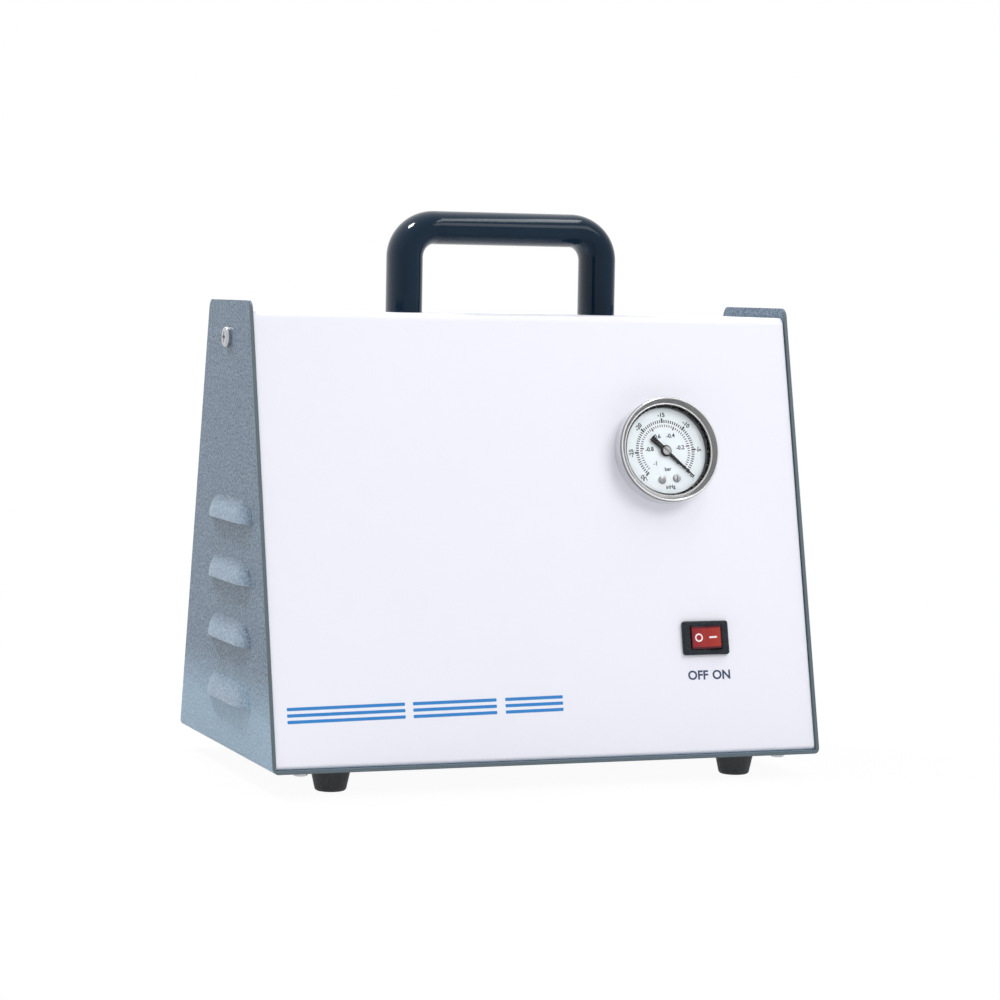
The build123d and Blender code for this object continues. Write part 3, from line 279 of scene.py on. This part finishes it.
hammered, tree, shader = new_finish("hammered_blue_grey", hammer_light, 0.45, shine=0.35)
place = in_object(tree)
beads = noise(tree, 950.0, 3.0, roughness=0.65)
cells = add(tree, "TexVoronoi", Vector=place, Scale=1150.0, Randomness=1.0)
cells.feature = "SMOOTH_F1"
pits = rise(tree, cells.outputs["Distance"], 0.15, 0.75)
pattern = figure(tree, "ADD", rise(tree, beads, 0.36, 0.64), pits)
speckle = rise(tree, pattern, 0.35, 1.5)
directions = add(tree, "SeparateXYZ", Vector=place).outputs

plate_colour = blend_colours(tree, speckle, hammer_dark, hammer_light)
# Painted reflection of the table: lighter and less speckled at the foot of the plate.
foot_reflection_colour = blend_colours(tree, spread(tree, speckle, 0.5, 0.85), hammer_dark, foot_reflection_tint)
foot_reflection_share = fall(tree, directions["Z"], *foot_reflection_heights)
painted = blend_colours(tree, foot_reflection_share, plate_colour, foot_reflection_colour)

# Painted highlight: the louvres lighter where they reach furthest out.
louvre_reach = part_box("chassis")[1][0]
from_middle = figure(tree, "ABSOLUTE", directions["X"])
louvre_highlight_share = rise(tree, from_middle, *(louvre_reach - inset for inset in louvre_highlight_insets))
louvre_highlight_colour = blend_colours(tree, speckle, hammer_light, louvre_highlight_tint)
body_colour = blend_colours(tree, louvre_highlight_share, painted, louvre_highlight_colour)

# Painted shade: the sheet's front edge darker.
front_plane = level("chassis")
outward = vector_figure(tree, "DOT_PRODUCT", place, panel_out)
edge_shade_share = rise(tree, outward, *(front_plane - inset for inset in edge_shade_insets))
colour_by(tree, shader, edge_shade_share, body_colour, edge_shade_tint)
roughen_by(tree, shader, speckle, 0.52, 0.38)
relief(tree, shader, pattern, depth=0.00003, edge=0.0003)
dress(hammered, "chassis")

# ---- Cover -------------------------------------------------------------------
# The front, top and back are one folded steel sheet, 1.2 mm thick, dropped between
# the side plates. Its white powder coat has a faint orange peel.
powder, tree, shader = new_finish("white_powder_coat", (0.74, 0.745, 0.82), 0.4, shine=0.4)
peel = noise(tree, 420.0, 2.0)
colour_by(tree, shader, noise(tree, 9.0, 2.0), (0.745, 0.745, 0.81), (0.765, 0.765, 0.83))
roughen_by(tree, shader, peel, 0.33, 0.43, start=0.3, end=0.7)
relief(tree, shader, peel, depth=0.00003, edge=0.0004)
dress(powder, "cover")

# ---- Feet --------------------------------------------------------------------
# Four moulded rubber feet taper towards the table, each held by one screw. The
# pump's isolators, diaphragm, valves and gasket are rubber too.
rubber, tree, shader = new_finish("black_rubber_skin", (0.02, 0.021, 0.023), 0.62)
skin = noise(tree, 900.0, 4.0)
colour_by(tree, shader, noise(tree, 140.0, 3.0), (0.013, 0.014, 0.016), (0.034, 0.036, 0.04))
roughen_by(tree, shader, skin, 0.5, 0.72, start=0.3, end=0.7)
relief(tree, shader, skin, depth=0.00005, edge=0.0004)
dress(rubber, "rubber_feet", "isolators", "diaphragm", "umbrella_valves", "head_gasket")

# ---- Screws ------------------------------------------------------------------
# Pan-head machine screws, cold headed and bright plated, hold the feet, the
# cover, the handle and the pump's castings.
def grained_finish(
    name, colour, roughness, grain, tones, gloss, over=(0.0, 1.0), bump=0.0, edge=0.0, **plain
):
    """A finish whose colour, roughness and bumps all follow one noise.

    The grain is its scale and detail, the tones two colours, and the gloss the
    lowest and highest roughness, reached over that stretch of the noise.
    """
    finish, tree, shader = new_finish(name, colour, roughness, **plain)
    texture = noise(tree, *grain)
    colour_by(tree, shader, texture, *tones)
    roughen_by(tree, shader, texture, *gloss, *over)
    if bump:
        relief(tree, shader, texture, bump, edge)
    return finish


plated = grained_finish(
    "bright_plating", (0.5, 0.51, 0.53), 0.2, metallic=1.0,
    grain=(700.0, 3.0), tones=((0.36, 0.37, 0.39), (0.62, 0.63, 0.65)),
    gloss=(0.14, 0.34), over=(0.3, 0.7), bump=0.00002, edge=0.0002,
)
dress(plated, "base_screws", "bottom_screws", "side_screws", "handle_screws", "head_screws")
dress(plated, "tie_screws", "lock_nuts")

# ---- Handle ------------------------------------------------------------------
# The bridge handle is moulded in one piece in glossy black plastic with a blue
# cast, and screwed up from inside the cover.
gloss_black, tree, shader = new_finish("gloss_black_moulding", (0.008, 0.017, 0.03), 0.1, shine=0.13)
flow = noise(tree, 35.0, 2.0)
colour_by(tree, shader, flow, (0.004, 0.014, 0.028), (0.008, 0.022, 0.042))
roughen_by(tree, shader, noise(tree, 520.0, 5.0, roughness=0.7), 0.06, 0.15, start=0.35, end=0.75)
relief(tree, shader, flow, depth=0.00012)
dress(gloss_black, "handle")

# ---- Gauge bezel -------------------------------------------------------------
# The bezel is a stainless ring pressed and spun over the case: a rolled rim, a
# dished band with the marks of spinning, and a lip on the glass. Its colour holds
# painted reflections: bright on the rim and the lip, dark in the band, inside the
# lip and round a waist of the outer wall.
gauge_centre = Vector(joints["pointer_turn"]["pos_m"])
panel_up = Vector(joints["rocker_tilt"]["axis"])
panel_across = panel_up.cross(panel_out)
panel_turn = Matrix((panel_across, panel_up, panel_out)).transposed()
# Each pair is where one painted reflection band of the ring starts to give way to
# the next, and where it is gone: radii from the gauge's axis, and for the waist,
# lengths along it.
lip_radii = (0.0207, 0.02085)
dish_inner, dish_outer = (0.02085, 0.0211), (0.0228, 0.0230)
wall_radii = (0.02345, 0.0236)
waist_low, waist_high = (0.0062, 0.0068), (0.0088, 0.0094)


def band(tree, value, low_edge, high_edge):
    """1 between two edges, each given as the start and end of its step, else 0."""
    return figure(tree, "MULTIPLY", rise(tree, value, *low_edge), fall(tree, value, *high_edge))


spun, tree, shader = new_finish("spun_stainless", (0.5, 0.5, 0.51), 0.3, metallic=1.0)
from_axis = vector_figure(tree, "SUBTRACT", in_object(tree), gauge_centre)
on_dial = add(tree, "VectorRotate", Vector=from_axis)
on_dial.rotation_type = "EULER_XYZ"
on_dial.inputs["Rotation"].default_value = panel_turn.inverted().to_euler()
directions = add(tree, "SeparateXYZ", Vector=on_dial.outputs[0]).outputs
flat = add(tree, "CombineXYZ", X=directions["X"], Y=directions["Y"]).outputs[0]
radius = vector_figure(tree, "LENGTH", flat)
rings = add(tree, "TexNoise", Scale=9000.0, Detail=3.0)
rings.noise_dimensions = "1D"
tree.links.new(radius, rings.inputs["W"])
dish = band(tree, radius, dish_inner, dish_outer)
waist = band(tree, directions["Z"], waist_low, waist_high)
on_wall = rise(tree, radius, *wall_radii)
# Painted reflections: dark in the dished band and round the wall's waist, dark inside the lip, bright on the
# lip and the rolled rim.
dark_reflection_share = figure(tree, "MAXIMUM", dish, figure(tree, "MULTIPLY", waist, on_wall))
spun_marks_and_dark_reflection = blend_colours(tree, rings.outputs[0], (0.22, 0.22, 0.225), (0.36, 0.36, 0.365))
bright = blend_colours(tree, rise(tree, radius, *lip_radii), (0.2, 0.2, 0.205), (0.8, 0.8, 0.81))
colour_by(tree, shader, dark_reflection_share, bright, spun_marks_and_dark_reflection)
roughen_by(tree, shader, dark_reflection_share, 0.1, 0.36)
relief(tree, shader, rings.outputs[0], depth=0.00001, edge=0.0001)
dress(spun, "gauge_bezel", "gauge_case", "gauge_clamp")

# ---- Gauge glass and spacer --------------------------------------------------
# A flat disc of window glass, held off the dial by a ring of black satin plastic,
# which the inlet, its fuse drawer and the fan are moulded in too.
glass = grained_finish(
    "window_glass", (0.99, 0.995, 1.0), 0.0,
    grain=(60.0, 2.0), tones=((0.985, 0.992, 0.998), (0.99, 0.997, 1.0)), gloss=(0.0, 0.02),
)
clear = glass.node_tree.nodes["Principled BSDF"]
clear.inputs["Transmission Weight"].default_value = 1.0
clear.inputs["IOR"].default_value = 1.2
dress(glass, "gauge_glass")

satin = grained_finish(
    "black_satin_plastic", (0.012, 0.013, 0.014), 0.35, shine=0.3,
    grain=(1400.0, 3.0), tones=((0.008, 0.009, 0.01), (0.02, 0.021, 0.023)),
    gloss=(0.28, 0.46), over=(0.3, 0.7), bump=0.000008, edge=0.0003,
)
dress(satin, "gauge_spacer", "inlet_body", "fuse_drawer", "cooling_fan")

# ---- Gauge dial --------------------------------------------------------------
# The dial is a sheet aluminium disc, sprayed a cool white and printed in black,
# with a second scale in dark red. Two small screws hold it on the movement.
enamel = grained_finish(
    "dial_enamel", (0.9, 0.95, 0.97), 0.5,
    grain=(260.0, 2.0), tones=((0.86, 0.93, 0.975), (0.92, 0.97, 1.0)), gloss=(0.42, 0.56), bump=0.00001,
)
dress(enamel, "gauge_dial")


def printing_ink(name, colour):
    """Screen ink, a little lighter where its film is thin."""
    lighter = tuple(min(1.0, part * 1.35 + 0.01) for part in colour)
    return grained_finish(
        name, colour, 0.45, grain=(1800.0, 2.0), tones=(colour, lighter), gloss=(0.38, 0.55)
    )


def on_panel(point, height):
    """Place on the panel: through a point, at a level along the normal."""
    seat = point + panel_out * (height - point @ panel_out)
    return Matrix.Translation(seat) @ panel_turn.to_4x4()


def turned(angle):
    """A turn about the panel's normal."""
    return Matrix.Rotation(angle, 4, "Z")


def shifted(across, up):
    """A move along the panel, across and up it."""
    return Matrix.Translation((across, up, 0))


def printed_bar(name, length, width):
    """A bar of ink lying on the sheet, centred, with softened corners."""
    bpy.ops.mesh.primitive_plane_add(size=1.0)
    bar = bpy.context.object
    bar.name = name
    bpy.ops.object.mode_set(mode="EDIT")
    bpy.ops.mesh.select_all(action="SELECT")
    bpy.ops.transform.resize(value=(length, width, 1.0))
    bpy.ops.mesh.bevel(offset=0.2 * width, segments=2, affect="VERTICES")
    bpy.ops.mesh.extrude_region_move(TRANSFORM_OT_translate={"value": (0, 0, ink_height)})
    bpy.ops.mesh.select_all(action="SELECT")
    bpy.ops.mesh.normals_make_consistent(inside=False)
    bpy.ops.object.mode_set(mode="OBJECT")
    return bar


def copies_joined(model, places):
    """Copies of a piece at each place, made one mesh. The model itself goes."""
    made = []
    for place in places:
        twin = model.copy()
        twin.data = model.data.copy()
        twin.data.transform(place)
        scene.collection.objects.link(twin)
        made.append(twin)
    name = model.name
    bpy.data.objects.remove(model)
    bpy.ops.object.select_all(action="DESELECT")
    for piece in made:
        piece.select_set(True)
    bpy.context.view_layer.objects.active = made[0]
    bpy.ops.object.join()
    made[0].name = name
    return made[0]


def printed_words(name, words, size, weight):
    """Upright words in ink, centred; the weight is how far the strokes are thickened."""
    bpy.ops.object.text_add()
    text = bpy.context.object
    text.name = name
    text.data.body = words
    text.data.size = size
    text.data.align_x = "CENTER"
    text.data.align_y = "CENTER"
    text.data.offset = weight
    text.data.extrude = ink_height / 2
    text.data.resolution_u = 4
    bpy.ops.object.convert(target="MESH")
    text = bpy.context.object
    text.data.transform(Matrix.Translation((0, 0, ink_height / 2)))
    return text


def put_print(piece, place, ink, body):
    """Lays a printed piece in its place, in its ink, on the body that it rides."""
    piece.data.transform(place)
    piece.data.materials.clear()
    piece.data.materials.append(ink)
    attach(piece, body)


def put_on_dial(piece, ink, place=Matrix()):
    """Lays a printed piece on the dial, from a place about the pointer's axis."""
    put_print(piece, dial_seat @ place, ink, "housing")


def scale_ticks(name, divisions, last, start_radius, bold, fine, ink):
    """Ticks round the dial, up to the last, bold at every tenth. Each kind has an end radius and a width."""
    for kind, (end_radius, width) in (("bold", bold), ("fine", fine)):
        tick = printed_bar(f"{name}_{kind}", abs(end_radius - start_radius), width)
        outward = shifted((end_radius + start_radius) / 2, 0)
        steps = [step for step in range(last + 1) if (step % 10 == 0) == (kind == "bold")]
        places = [turned(zero_angle + sweep * step / divisions) @ outward for step in steps]
        put_on_dial(copies_joined(tick, places), ink)


black_ink = printing_ink("black_ink", (0.012, 0.013, 0.018))
red_ink = printing_ink("dark_red_ink", (0.07, 0.014, 0.024))
ink_height = 0.00004
dial_seat = on_panel(gauge_centre, level("gauge_dial"))
# The gauge is clamped a little turned, so its words and screws lean. Angles run
# from the panel's right, and the zero of both scales lies below it.
dial_turn = math.radians(5.0)
zero_angle, sweep = math.radians(-42.0), math.radians(270.0)
outer_numeral_radius, inner_numeral_radius = 0.0164, 0.0076

scale_ticks("outer_ticks", 60, 60, 0.01285, bold=(0.01495, 0.0008), fine=(0.01425, 0.0005), ink=black_ink)
scale_ticks("inner_ticks", 50, 49, 0.01215, bold=(0.0104, 0.00062), fine=(0.0110, 0.0004), ink=red_ink)

for step, words in enumerate(("0", "-5", "-10", "-15", "-20", "-25", "-30")):
    numeral = printed_words(f"outer_numeral_{step}", words, size=0.0027, weight=0.00009)
    spot = turned(zero_angle + sweep * step / 6) @ shifted(outer_numeral_radius, 0)
    put_on_dial(numeral, black_ink, spot @ turned(-math.pi / 2))
for step, words in enumerate(("0", "-0.2", "-0.4", "-0.6", "-0.8", "-1")):
    numeral = printed_words(f"inner_numeral_{step}", words, size=0.0026, weight=0.00008)
    angle = zero_angle + sweep * step / 5
    spot = shifted(math.cos(angle) * inner_numeral_radius, math.sin(angle) * inner_numeral_radius)
    put_on_dial(numeral, black_ink, spot @ turned(dial_turn))
for words, drop in (("bar", 0.0082), ("inHg", 0.0163)):
    unit = printed_words(f"unit_{words}", words, size=0.0024, weight=0.00006)
    put_on_dial(unit, black_ink, turned(dial_turn) @ shifted(0, -drop))

# ---- Dial screws -------------------------------------------------------------
# Two small turned steel screws with slotted heads, left grey, hold the dial. Their
# heads are modelled here, rounded over the edge and slotted.
head_radius, head_height, head_rounding = 0.0018, 0.0007, 0.0003
slot_length, slot_width, slot_middle = 0.005, 0.0006, 0.00055
screw_across, screw_drop = 0.0036, 0.01275

steel = grained_finish(
    "dial_screw_steel", (0.3, 0.3, 0.31), 0.34, metallic=1.0,
    grain=(900.0, 2.0), tones=((0.22, 0.22, 0.23), (0.38, 0.38, 0.39)), gloss=(0.28, 0.4),
)
bpy.ops.mesh.primitive_cylinder_add(
    vertices=48, radius=head_radius, depth=head_height, location=(0, 0, head_height / 2)
)
head = bpy.context.object
bpy.ops.object.mode_set(mode="EDIT")
bpy.ops.mesh.select_all(action="DESELECT")
bpy.ops.object.mode_set(mode="OBJECT")
for face in head.data.polygons:
    face.select = face.normal.z > 0.9
bpy.ops.object.mode_set(mode="EDIT")
bpy.ops.mesh.bevel(offset=head_rounding, segments=4)
bpy.ops.object.mode_set(mode="OBJECT")
bpy.ops.mesh.primitive_cube_add(size=1.0, location=(0, 0, slot_middle))
cutter = bpy.context.object
bpy.ops.object.mode_set(mode="EDIT")
bpy.ops.transform.resize(value=(slot_length, slot_width, slot_width))
bpy.ops.object.mode_set(mode="OBJECT")
cut = head.modifiers.new("slot", "BOOLEAN")
cut.operation = "DIFFERENCE"
cut.object = cutter
bpy.context.view_layer.objects.active = head
bpy.ops.object.modifier_apply(modifier="slot")
bpy.data.objects.remove(cutter)
bpy.ops.object.select_all(action="DESELECT")
head.select_set(True)
bpy.ops.object.transform_apply(location=True, rotation=False, scale=False)
bpy.ops.object.shade_smooth_by_angle(angle=math.radians(35))
head.data.materials.append(steel)
twin = head.copy()
twin.data = head.data.copy()
scene.collection.objects.link(twin)
for piece, side, across, slot_turn in (
    (head, "left", -screw_across, -0.1),
    (twin, "right", screw_across, 1.3),
):
    piece.name = f"dial_screw_{side}"
    spot = turned(dial_turn) @ shifted(across, -screw_drop)
    piece.data.transform(dial_seat @ spot @ turned(slot_turn))
    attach(piece, "housing")
    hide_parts("dial_screws")

# ---- Gauge pointer and movement ----------------------------------------------
# The pointer is stamped from thin sheet and painted matt black; its slotted cap
# is pressed on the spindle. Brass plates and a bent tube lie behind the dial.
matt_black = grained_finish(
    "matt_black_paint", (0.004, 0.004, 0.006), 0.5, shine=0.15,
    grain=(2200.0, 2.0), tones=((0.007, 0.007, 0.009), (0.018, 0.018, 0.021)), gloss=(0.4, 0.6),
)
pointer_low = min(corner.co @ panel_out for corner in nodes["gauge_pointer"].data.vertices)
pointer_thickness = level("gauge_pointer") - pointer_low
tip_reach, tip_half, root_half = 0.0173, 0.0002, 0.001
tail_reach, tail_half, neck_half = -0.0089, 0.0013, 0.00105
boss_radius = 0.0026


def flat_shape(name, outline):
    """A sheet shape in the dial's plane, from its corners in order."""
    bpy.ops.mesh.primitive_circle_add(vertices=len(outline), radius=0.001, fill_type="NGON")
    shape = bpy.context.object
    shape.name = name
    for corner, spot in zip(shape.data.vertices, outline):
        corner.co = (*spot, 0.0)
    return shape


blade = flat_shape(
    "pointer_blade", [(tip_reach, -tip_half), (tip_reach, tip_half), (0, root_half), (0, -root_half)]
)
tail = flat_shape(
    "pointer_tail", [(0, -neck_half), (0, neck_half), (tail_reach, tail_half), (tail_reach, -tail_half)]
)
bpy.ops.mesh.primitive_circle_add(vertices=48, radius=boss_radius, fill_type="NGON")
pointer = bpy.context.object
pointer.name = "painted_pointer"
for piece in (blade, tail, pointer):
    thick = piece.modifiers.new("sheet", "SOLIDIFY")
    thick.thickness = pointer_thickness
    thick.offset = 1.0
    soften = piece.modifiers.new("edge", "BEVEL")
    soften.width = 0.00006
    soften.segments = 2
    bpy.context.view_layer.objects.active = piece
    bpy.ops.object.modifier_apply(modifier="sheet")
    bpy.ops.object.modifier_apply(modifier="edge")
bpy.ops.object.select_all(action="DESELECT")
for piece in (blade, tail, pointer):
    piece.select_set(True)
bpy.context.view_layer.objects.active = pointer
bpy.ops.object.join()
bpy.ops.object.mode_set(mode="EDIT")
bpy.ops.mesh.select_all(action="SELECT")
bpy.ops.mesh.normals_make_consistent(inside=False)
bpy.ops.object.mode_set(mode="OBJECT")
pointer.data.transform(on_panel(gauge_centre, pointer_low) @ turned(zero_angle))
pointer.data.materials.append(matt_black)
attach(pointer, "pointer")
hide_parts("gauge_pointer")
dress(steel, "pointer_spindle")

brass = grained_finish(
    "drawn_brass", (0.62, 0.44, 0.17), 0.3, metallic=1.0,
    grain=(180.0, 4.0), tones=((0.46, 0.3, 0.11), (0.7, 0.52, 0.22)),
    gloss=(0.22, 0.42), over=(0.3, 0.7), bump=0.00002, edge=0.0002,
)
dress(brass, "bourdon_tube_and_stem", "gauge_movement", "gauge_sector")

# ---- Rocker switch -----------------------------------------------------------
# A snap-in switch: a glossy black nylon frame, and a rocker moulded in clear red
# acetal with a ring and a dash printed white. The ring's end is pressed in.
frame_nylon = grained_finish(
    "switch_frame_nylon", (0.01, 0.016, 0.022), 0.25, shine=0.22,
    grain=(1100.0, 3.0), tones=((0.008, 0.013, 0.018), (0.014, 0.021, 0.028)),
    gloss=(0.18, 0.32), over=(0.3, 0.7), bump=0.00002, edge=0.0004,
)
dress(frame_nylon, "switch_housing")

switch_centre = Vector(joints["rocker_tilt"]["pos_m"])
# Painted shade darkens the moulding along its borders and in a groove near its right end.
side_shade_border = (0.004, 0.0044)
left_shade_border = (-0.007, -0.0066)
right_groove_shade = ((0.0055, 0.0058), (0.0063, 0.0066))

clear_red, tree, shader = new_finish("clear_red_acetal", (0.5, 0.03, 0.02), 0.16, shine=0.35)
cloud = noise(tree, 160.0, 2.0)
in_frame = vector_figure(tree, "SUBTRACT", in_object(tree), switch_centre)
across = add(tree, "SeparateXYZ", Vector=in_frame).outputs["X"]
from_middle = figure(tree, "ABSOLUTE", vector_figure(tree, "DOT_PRODUCT", in_frame, panel_up))
# Painted light: the rocker lighter towards its raised right end, with a random cloud.
right_painted_light = spread(tree, across, 0.0, 0.85, start=-0.006, end=0.006)
painted_light_share = figure(tree, "ADD", right_painted_light, spread(tree, cloud, -0.1, 0.15))
lit_and_shaded_red = blend_colours(tree, painted_light_share, (0.24, 0.008, 0.016), (0.42, 0.036, 0.018))
# Painted shade along the rocker's borders and in the groove near its right end.
end_shade = figure(tree, "MAXIMUM", fall(tree, across, *left_shade_border), band(tree, across, *right_groove_shade))
painted_shade_borders = figure(tree, "MAXIMUM", rise(tree, from_middle, *side_shade_border), end_shade)
colour_by(tree, shader, painted_shade_borders, lit_and_shaded_red, (0.06, 0.003, 0.008))
roughen_by(tree, shader, cloud, 0.1, 0.22)
relief(tree, shader, cloud, depth=0.00004, edge=0.0003)
dress(clear_red, "rocker")


def on_rocker(side):
    """Place on the middle of one half of the rocker's face, by its side along X."""
    middle, normal, area = Vector(), Vector(), 0.0
    centre_x = sum(corner.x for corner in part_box("rocker")) / 2
    for face in nodes["rocker"].data.polygons:
        if face.normal @ panel_out > 0.9 and (face.center.x - centre_x) * side > 0:
            middle += face.center * face.area
            normal += face.normal * face.area
            area += face.area
    normal.normalize()
    across = panel_up.cross(normal).normalized()
    turn = Matrix((across, panel_up, normal)).transposed().to_4x4()
    return Matrix.Translation(middle / area) @ turn


white_ink = printing_ink("white_ink", (0.76, 0.66, 0.66))
ring_radius, bore_share = 0.00185, 0.68
bpy.ops.mesh.primitive_circle_add(vertices=40, radius=ring_radius)
ring = bpy.context.object
ring.name = "off_mark"
bpy.ops.object.mode_set(mode="EDIT")
bpy.ops.mesh.select_all(action="SELECT")
bpy.ops.mesh.extrude_region_move()
bpy.ops.transform.resize(value=(bore_share, bore_share, 1.0))
bpy.ops.mesh.select_all(action="SELECT")
bpy.ops.mesh.extrude_region_move(TRANSFORM_OT_translate={"value": (0, 0, ink_height)})
bpy.ops.mesh.select_all(action="SELECT")
bpy.ops.mesh.normals_make_consistent(inside=False)
bpy.ops.object.mode_set(mode="OBJECT")
put_print(ring, on_rocker(-1), white_ink, "rocker")
dash = printed_bar("on_mark", length=0.0034, width=0.0008)
put_print(dash, on_rocker(1), white_ink, "rocker")

# ---- Print on the cover ------------------------------------------------------
# Screen print on the powder coat: the legend under the switch in dark blue, and
# plain blue bars low on the left.
blue_black_ink = printing_ink("blue_black_ink", (0.012, 0.03, 0.075))
blue_ink = printing_ink("blue_ink", (0.0, 0.15, 0.42))
cover_faces = [face for face in nodes["cover"].data.polygons if face.normal @ panel_out > 0.999]
cover_level = max(face.center @ panel_out for face in cover_faces)
legend_drop = 0.0167
for words, across in (("OFF", -0.0044), ("ON", 0.0070)):
    legend = printed_words(f"legend_{words}", words, size=0.0056, weight=0.00016)
    place = on_panel(switch_centre, cover_level) @ shifted(across, -legend_drop)
    put_print(legend, place, blue_black_ink, "housing")

print_turn = math.radians(0.78)
bar_spans = ((-0.1198, -0.067), (-0.0634, -0.0251), (-0.0211, 0.0058))
bar_width, bar_rows, row_step, first_row = 0.0014, 3, 0.00275, 0.0221
base_edge = Vector((0.0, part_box("chassis")[0].y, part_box("chassis")[0].z))
for number, (left, right) in enumerate(bar_spans):
    middle = (left + right) / 2
    slope_rise = (middle - bar_spans[0][0]) * math.tan(print_turn)
    for row in range(bar_rows):
        bar = printed_bar(f"blue_bar_{number}_{row}", right - left, bar_width)
        place = shifted(middle, first_row + row * row_step + slope_rise) @ turned(print_turn)
        put_print(bar, on_panel(base_edge, cover_level) @ place, blue_ink, "housing")

# ---- Inlet, wiring and pipework ----------------------------------------------
# The appliance inlet is black nylon with plated blades. The nozzles and elbows
# are turned brass, nickel plated outside; the lines are silicone hose.
dress(plated, "inlet_pins", "switch_terminals", "nozzle_nuts")
dress(brass, "exhaust_elbow", "intake_tee")
dress(gloss_black, "wiring")

nickel = grained_finish(
    "nickel_plate", (0.66, 0.64, 0.6), 0.22, metallic=1.0,
    grain=(480.0, 4.0), tones=((0.55, 0.53, 0.49), (0.74, 0.72, 0.68)),
    gloss=(0.14, 0.3), over=(0.3, 0.7), bump=0.00002, edge=0.0003,
)
dress(nickel, "hose_nozzles", "fuse")

silicone = grained_finish(
    "silicone_hose_wall", (0.72, 0.74, 0.74), 0.4,
    grain=(90.0, 3.0), tones=((0.62, 0.65, 0.66), (0.78, 0.8, 0.8)), gloss=(0.34, 0.5), bump=0.00005,
)
milky = silicone.node_tree.nodes["Principled BSDF"]
milky.inputs["Subsurface Weight"].default_value = 0.3
milky.inputs["Subsurface Scale"].default_value = 0.001
dress(silicone, "line_hoses", "gauge_hose")

# ---- Pump and motor ----------------------------------------------------------
# The crank housing, head, bells and rod are die-cast aluminium, the crank and
# shaft ground steel, the stator stacked sheet and the windings copper wire.
cast = grained_finish(
    "die_cast_aluminium", (0.5, 0.51, 0.52), 0.5, metallic=1.0,
    grain=(520.0, 5.0, 0.7), tones=((0.38, 0.39, 0.4), (0.6, 0.61, 0.62)),
    gloss=(0.4, 0.62), over=(0.3, 0.7), bump=0.00012, edge=0.0005,
)
dress(cast, "crank_housing", "crank_cover", "head_cover", "valve_plate", "connecting_rod")
dress(cast, "front_bell", "rear_bell", "run_capacitor")

ground = grained_finish(
    "ground_steel", (0.5, 0.51, 0.53), 0.28, metallic=1.0,
    grain=(900.0, 3.0), tones=((0.4, 0.41, 0.43), (0.58, 0.59, 0.61)),
    gloss=(0.2, 0.36), over=(0.3, 0.7), bump=0.00002, edge=0.0002,
)
dress(ground, "motor_shaft", "motor_bearings", "rod_bearing", "eccentric", "diaphragm_clamp")

stacked, tree, shader = new_finish("stacked_laminations", (0.2, 0.21, 0.24), 0.45, metallic=1.0)
layers = add(tree, "TexWave", Vector=in_object(tree), Scale=320.0, Distortion=0.4, Detail=2.0)
layers.bands_direction = "X"
colour_by(tree, shader, layers.outputs[0], (0.1, 0.11, 0.13), (0.27, 0.28, 0.31))
roughen_by(tree, shader, layers.outputs[0], 0.55, 0.35)
relief(tree, shader, layers.outputs[0], depth=0.00012)
dress(stacked, "motor_stator", "motor_rotor")

copper, tree, shader = new_finish("enamelled_copper", (0.45, 0.16, 0.05), 0.3, metallic=1.0, coat=0.4)
turns = add(tree, "TexWave", Vector=in_object(tree), Scale=260.0, Distortion=2.5, Detail=2.0)
turns.bands_direction = "DIAGONAL"
colour_by(tree, shader, turns.outputs[0], (0.26, 0.075, 0.02), (0.58, 0.24, 0.08))
roughen_by(tree, shader, turns.outputs[0], 0.42, 0.24)
relief(tree, shader, turns.outputs[0], depth=0.0003)
dress(copper, "motor_windings")

zinc, tree, shader = new_finish("zinc_plated_sheet", (0.58, 0.6, 0.62), 0.34, metallic=1.0)
spangle = add(tree, "TexVoronoi", Vector=in_object(tree), Scale=110.0).outputs["Distance"]
colour_by(tree, shader, spangle, (0.48, 0.5, 0.52), (0.68, 0.7, 0.72))
roughen_by(tree, shader, spangle, 0.28, 0.44)
relief(tree, shader, spangle, depth=0.00001, edge=0.0003)
dress(zinc, "capacitor_clip", "motor_cradle")
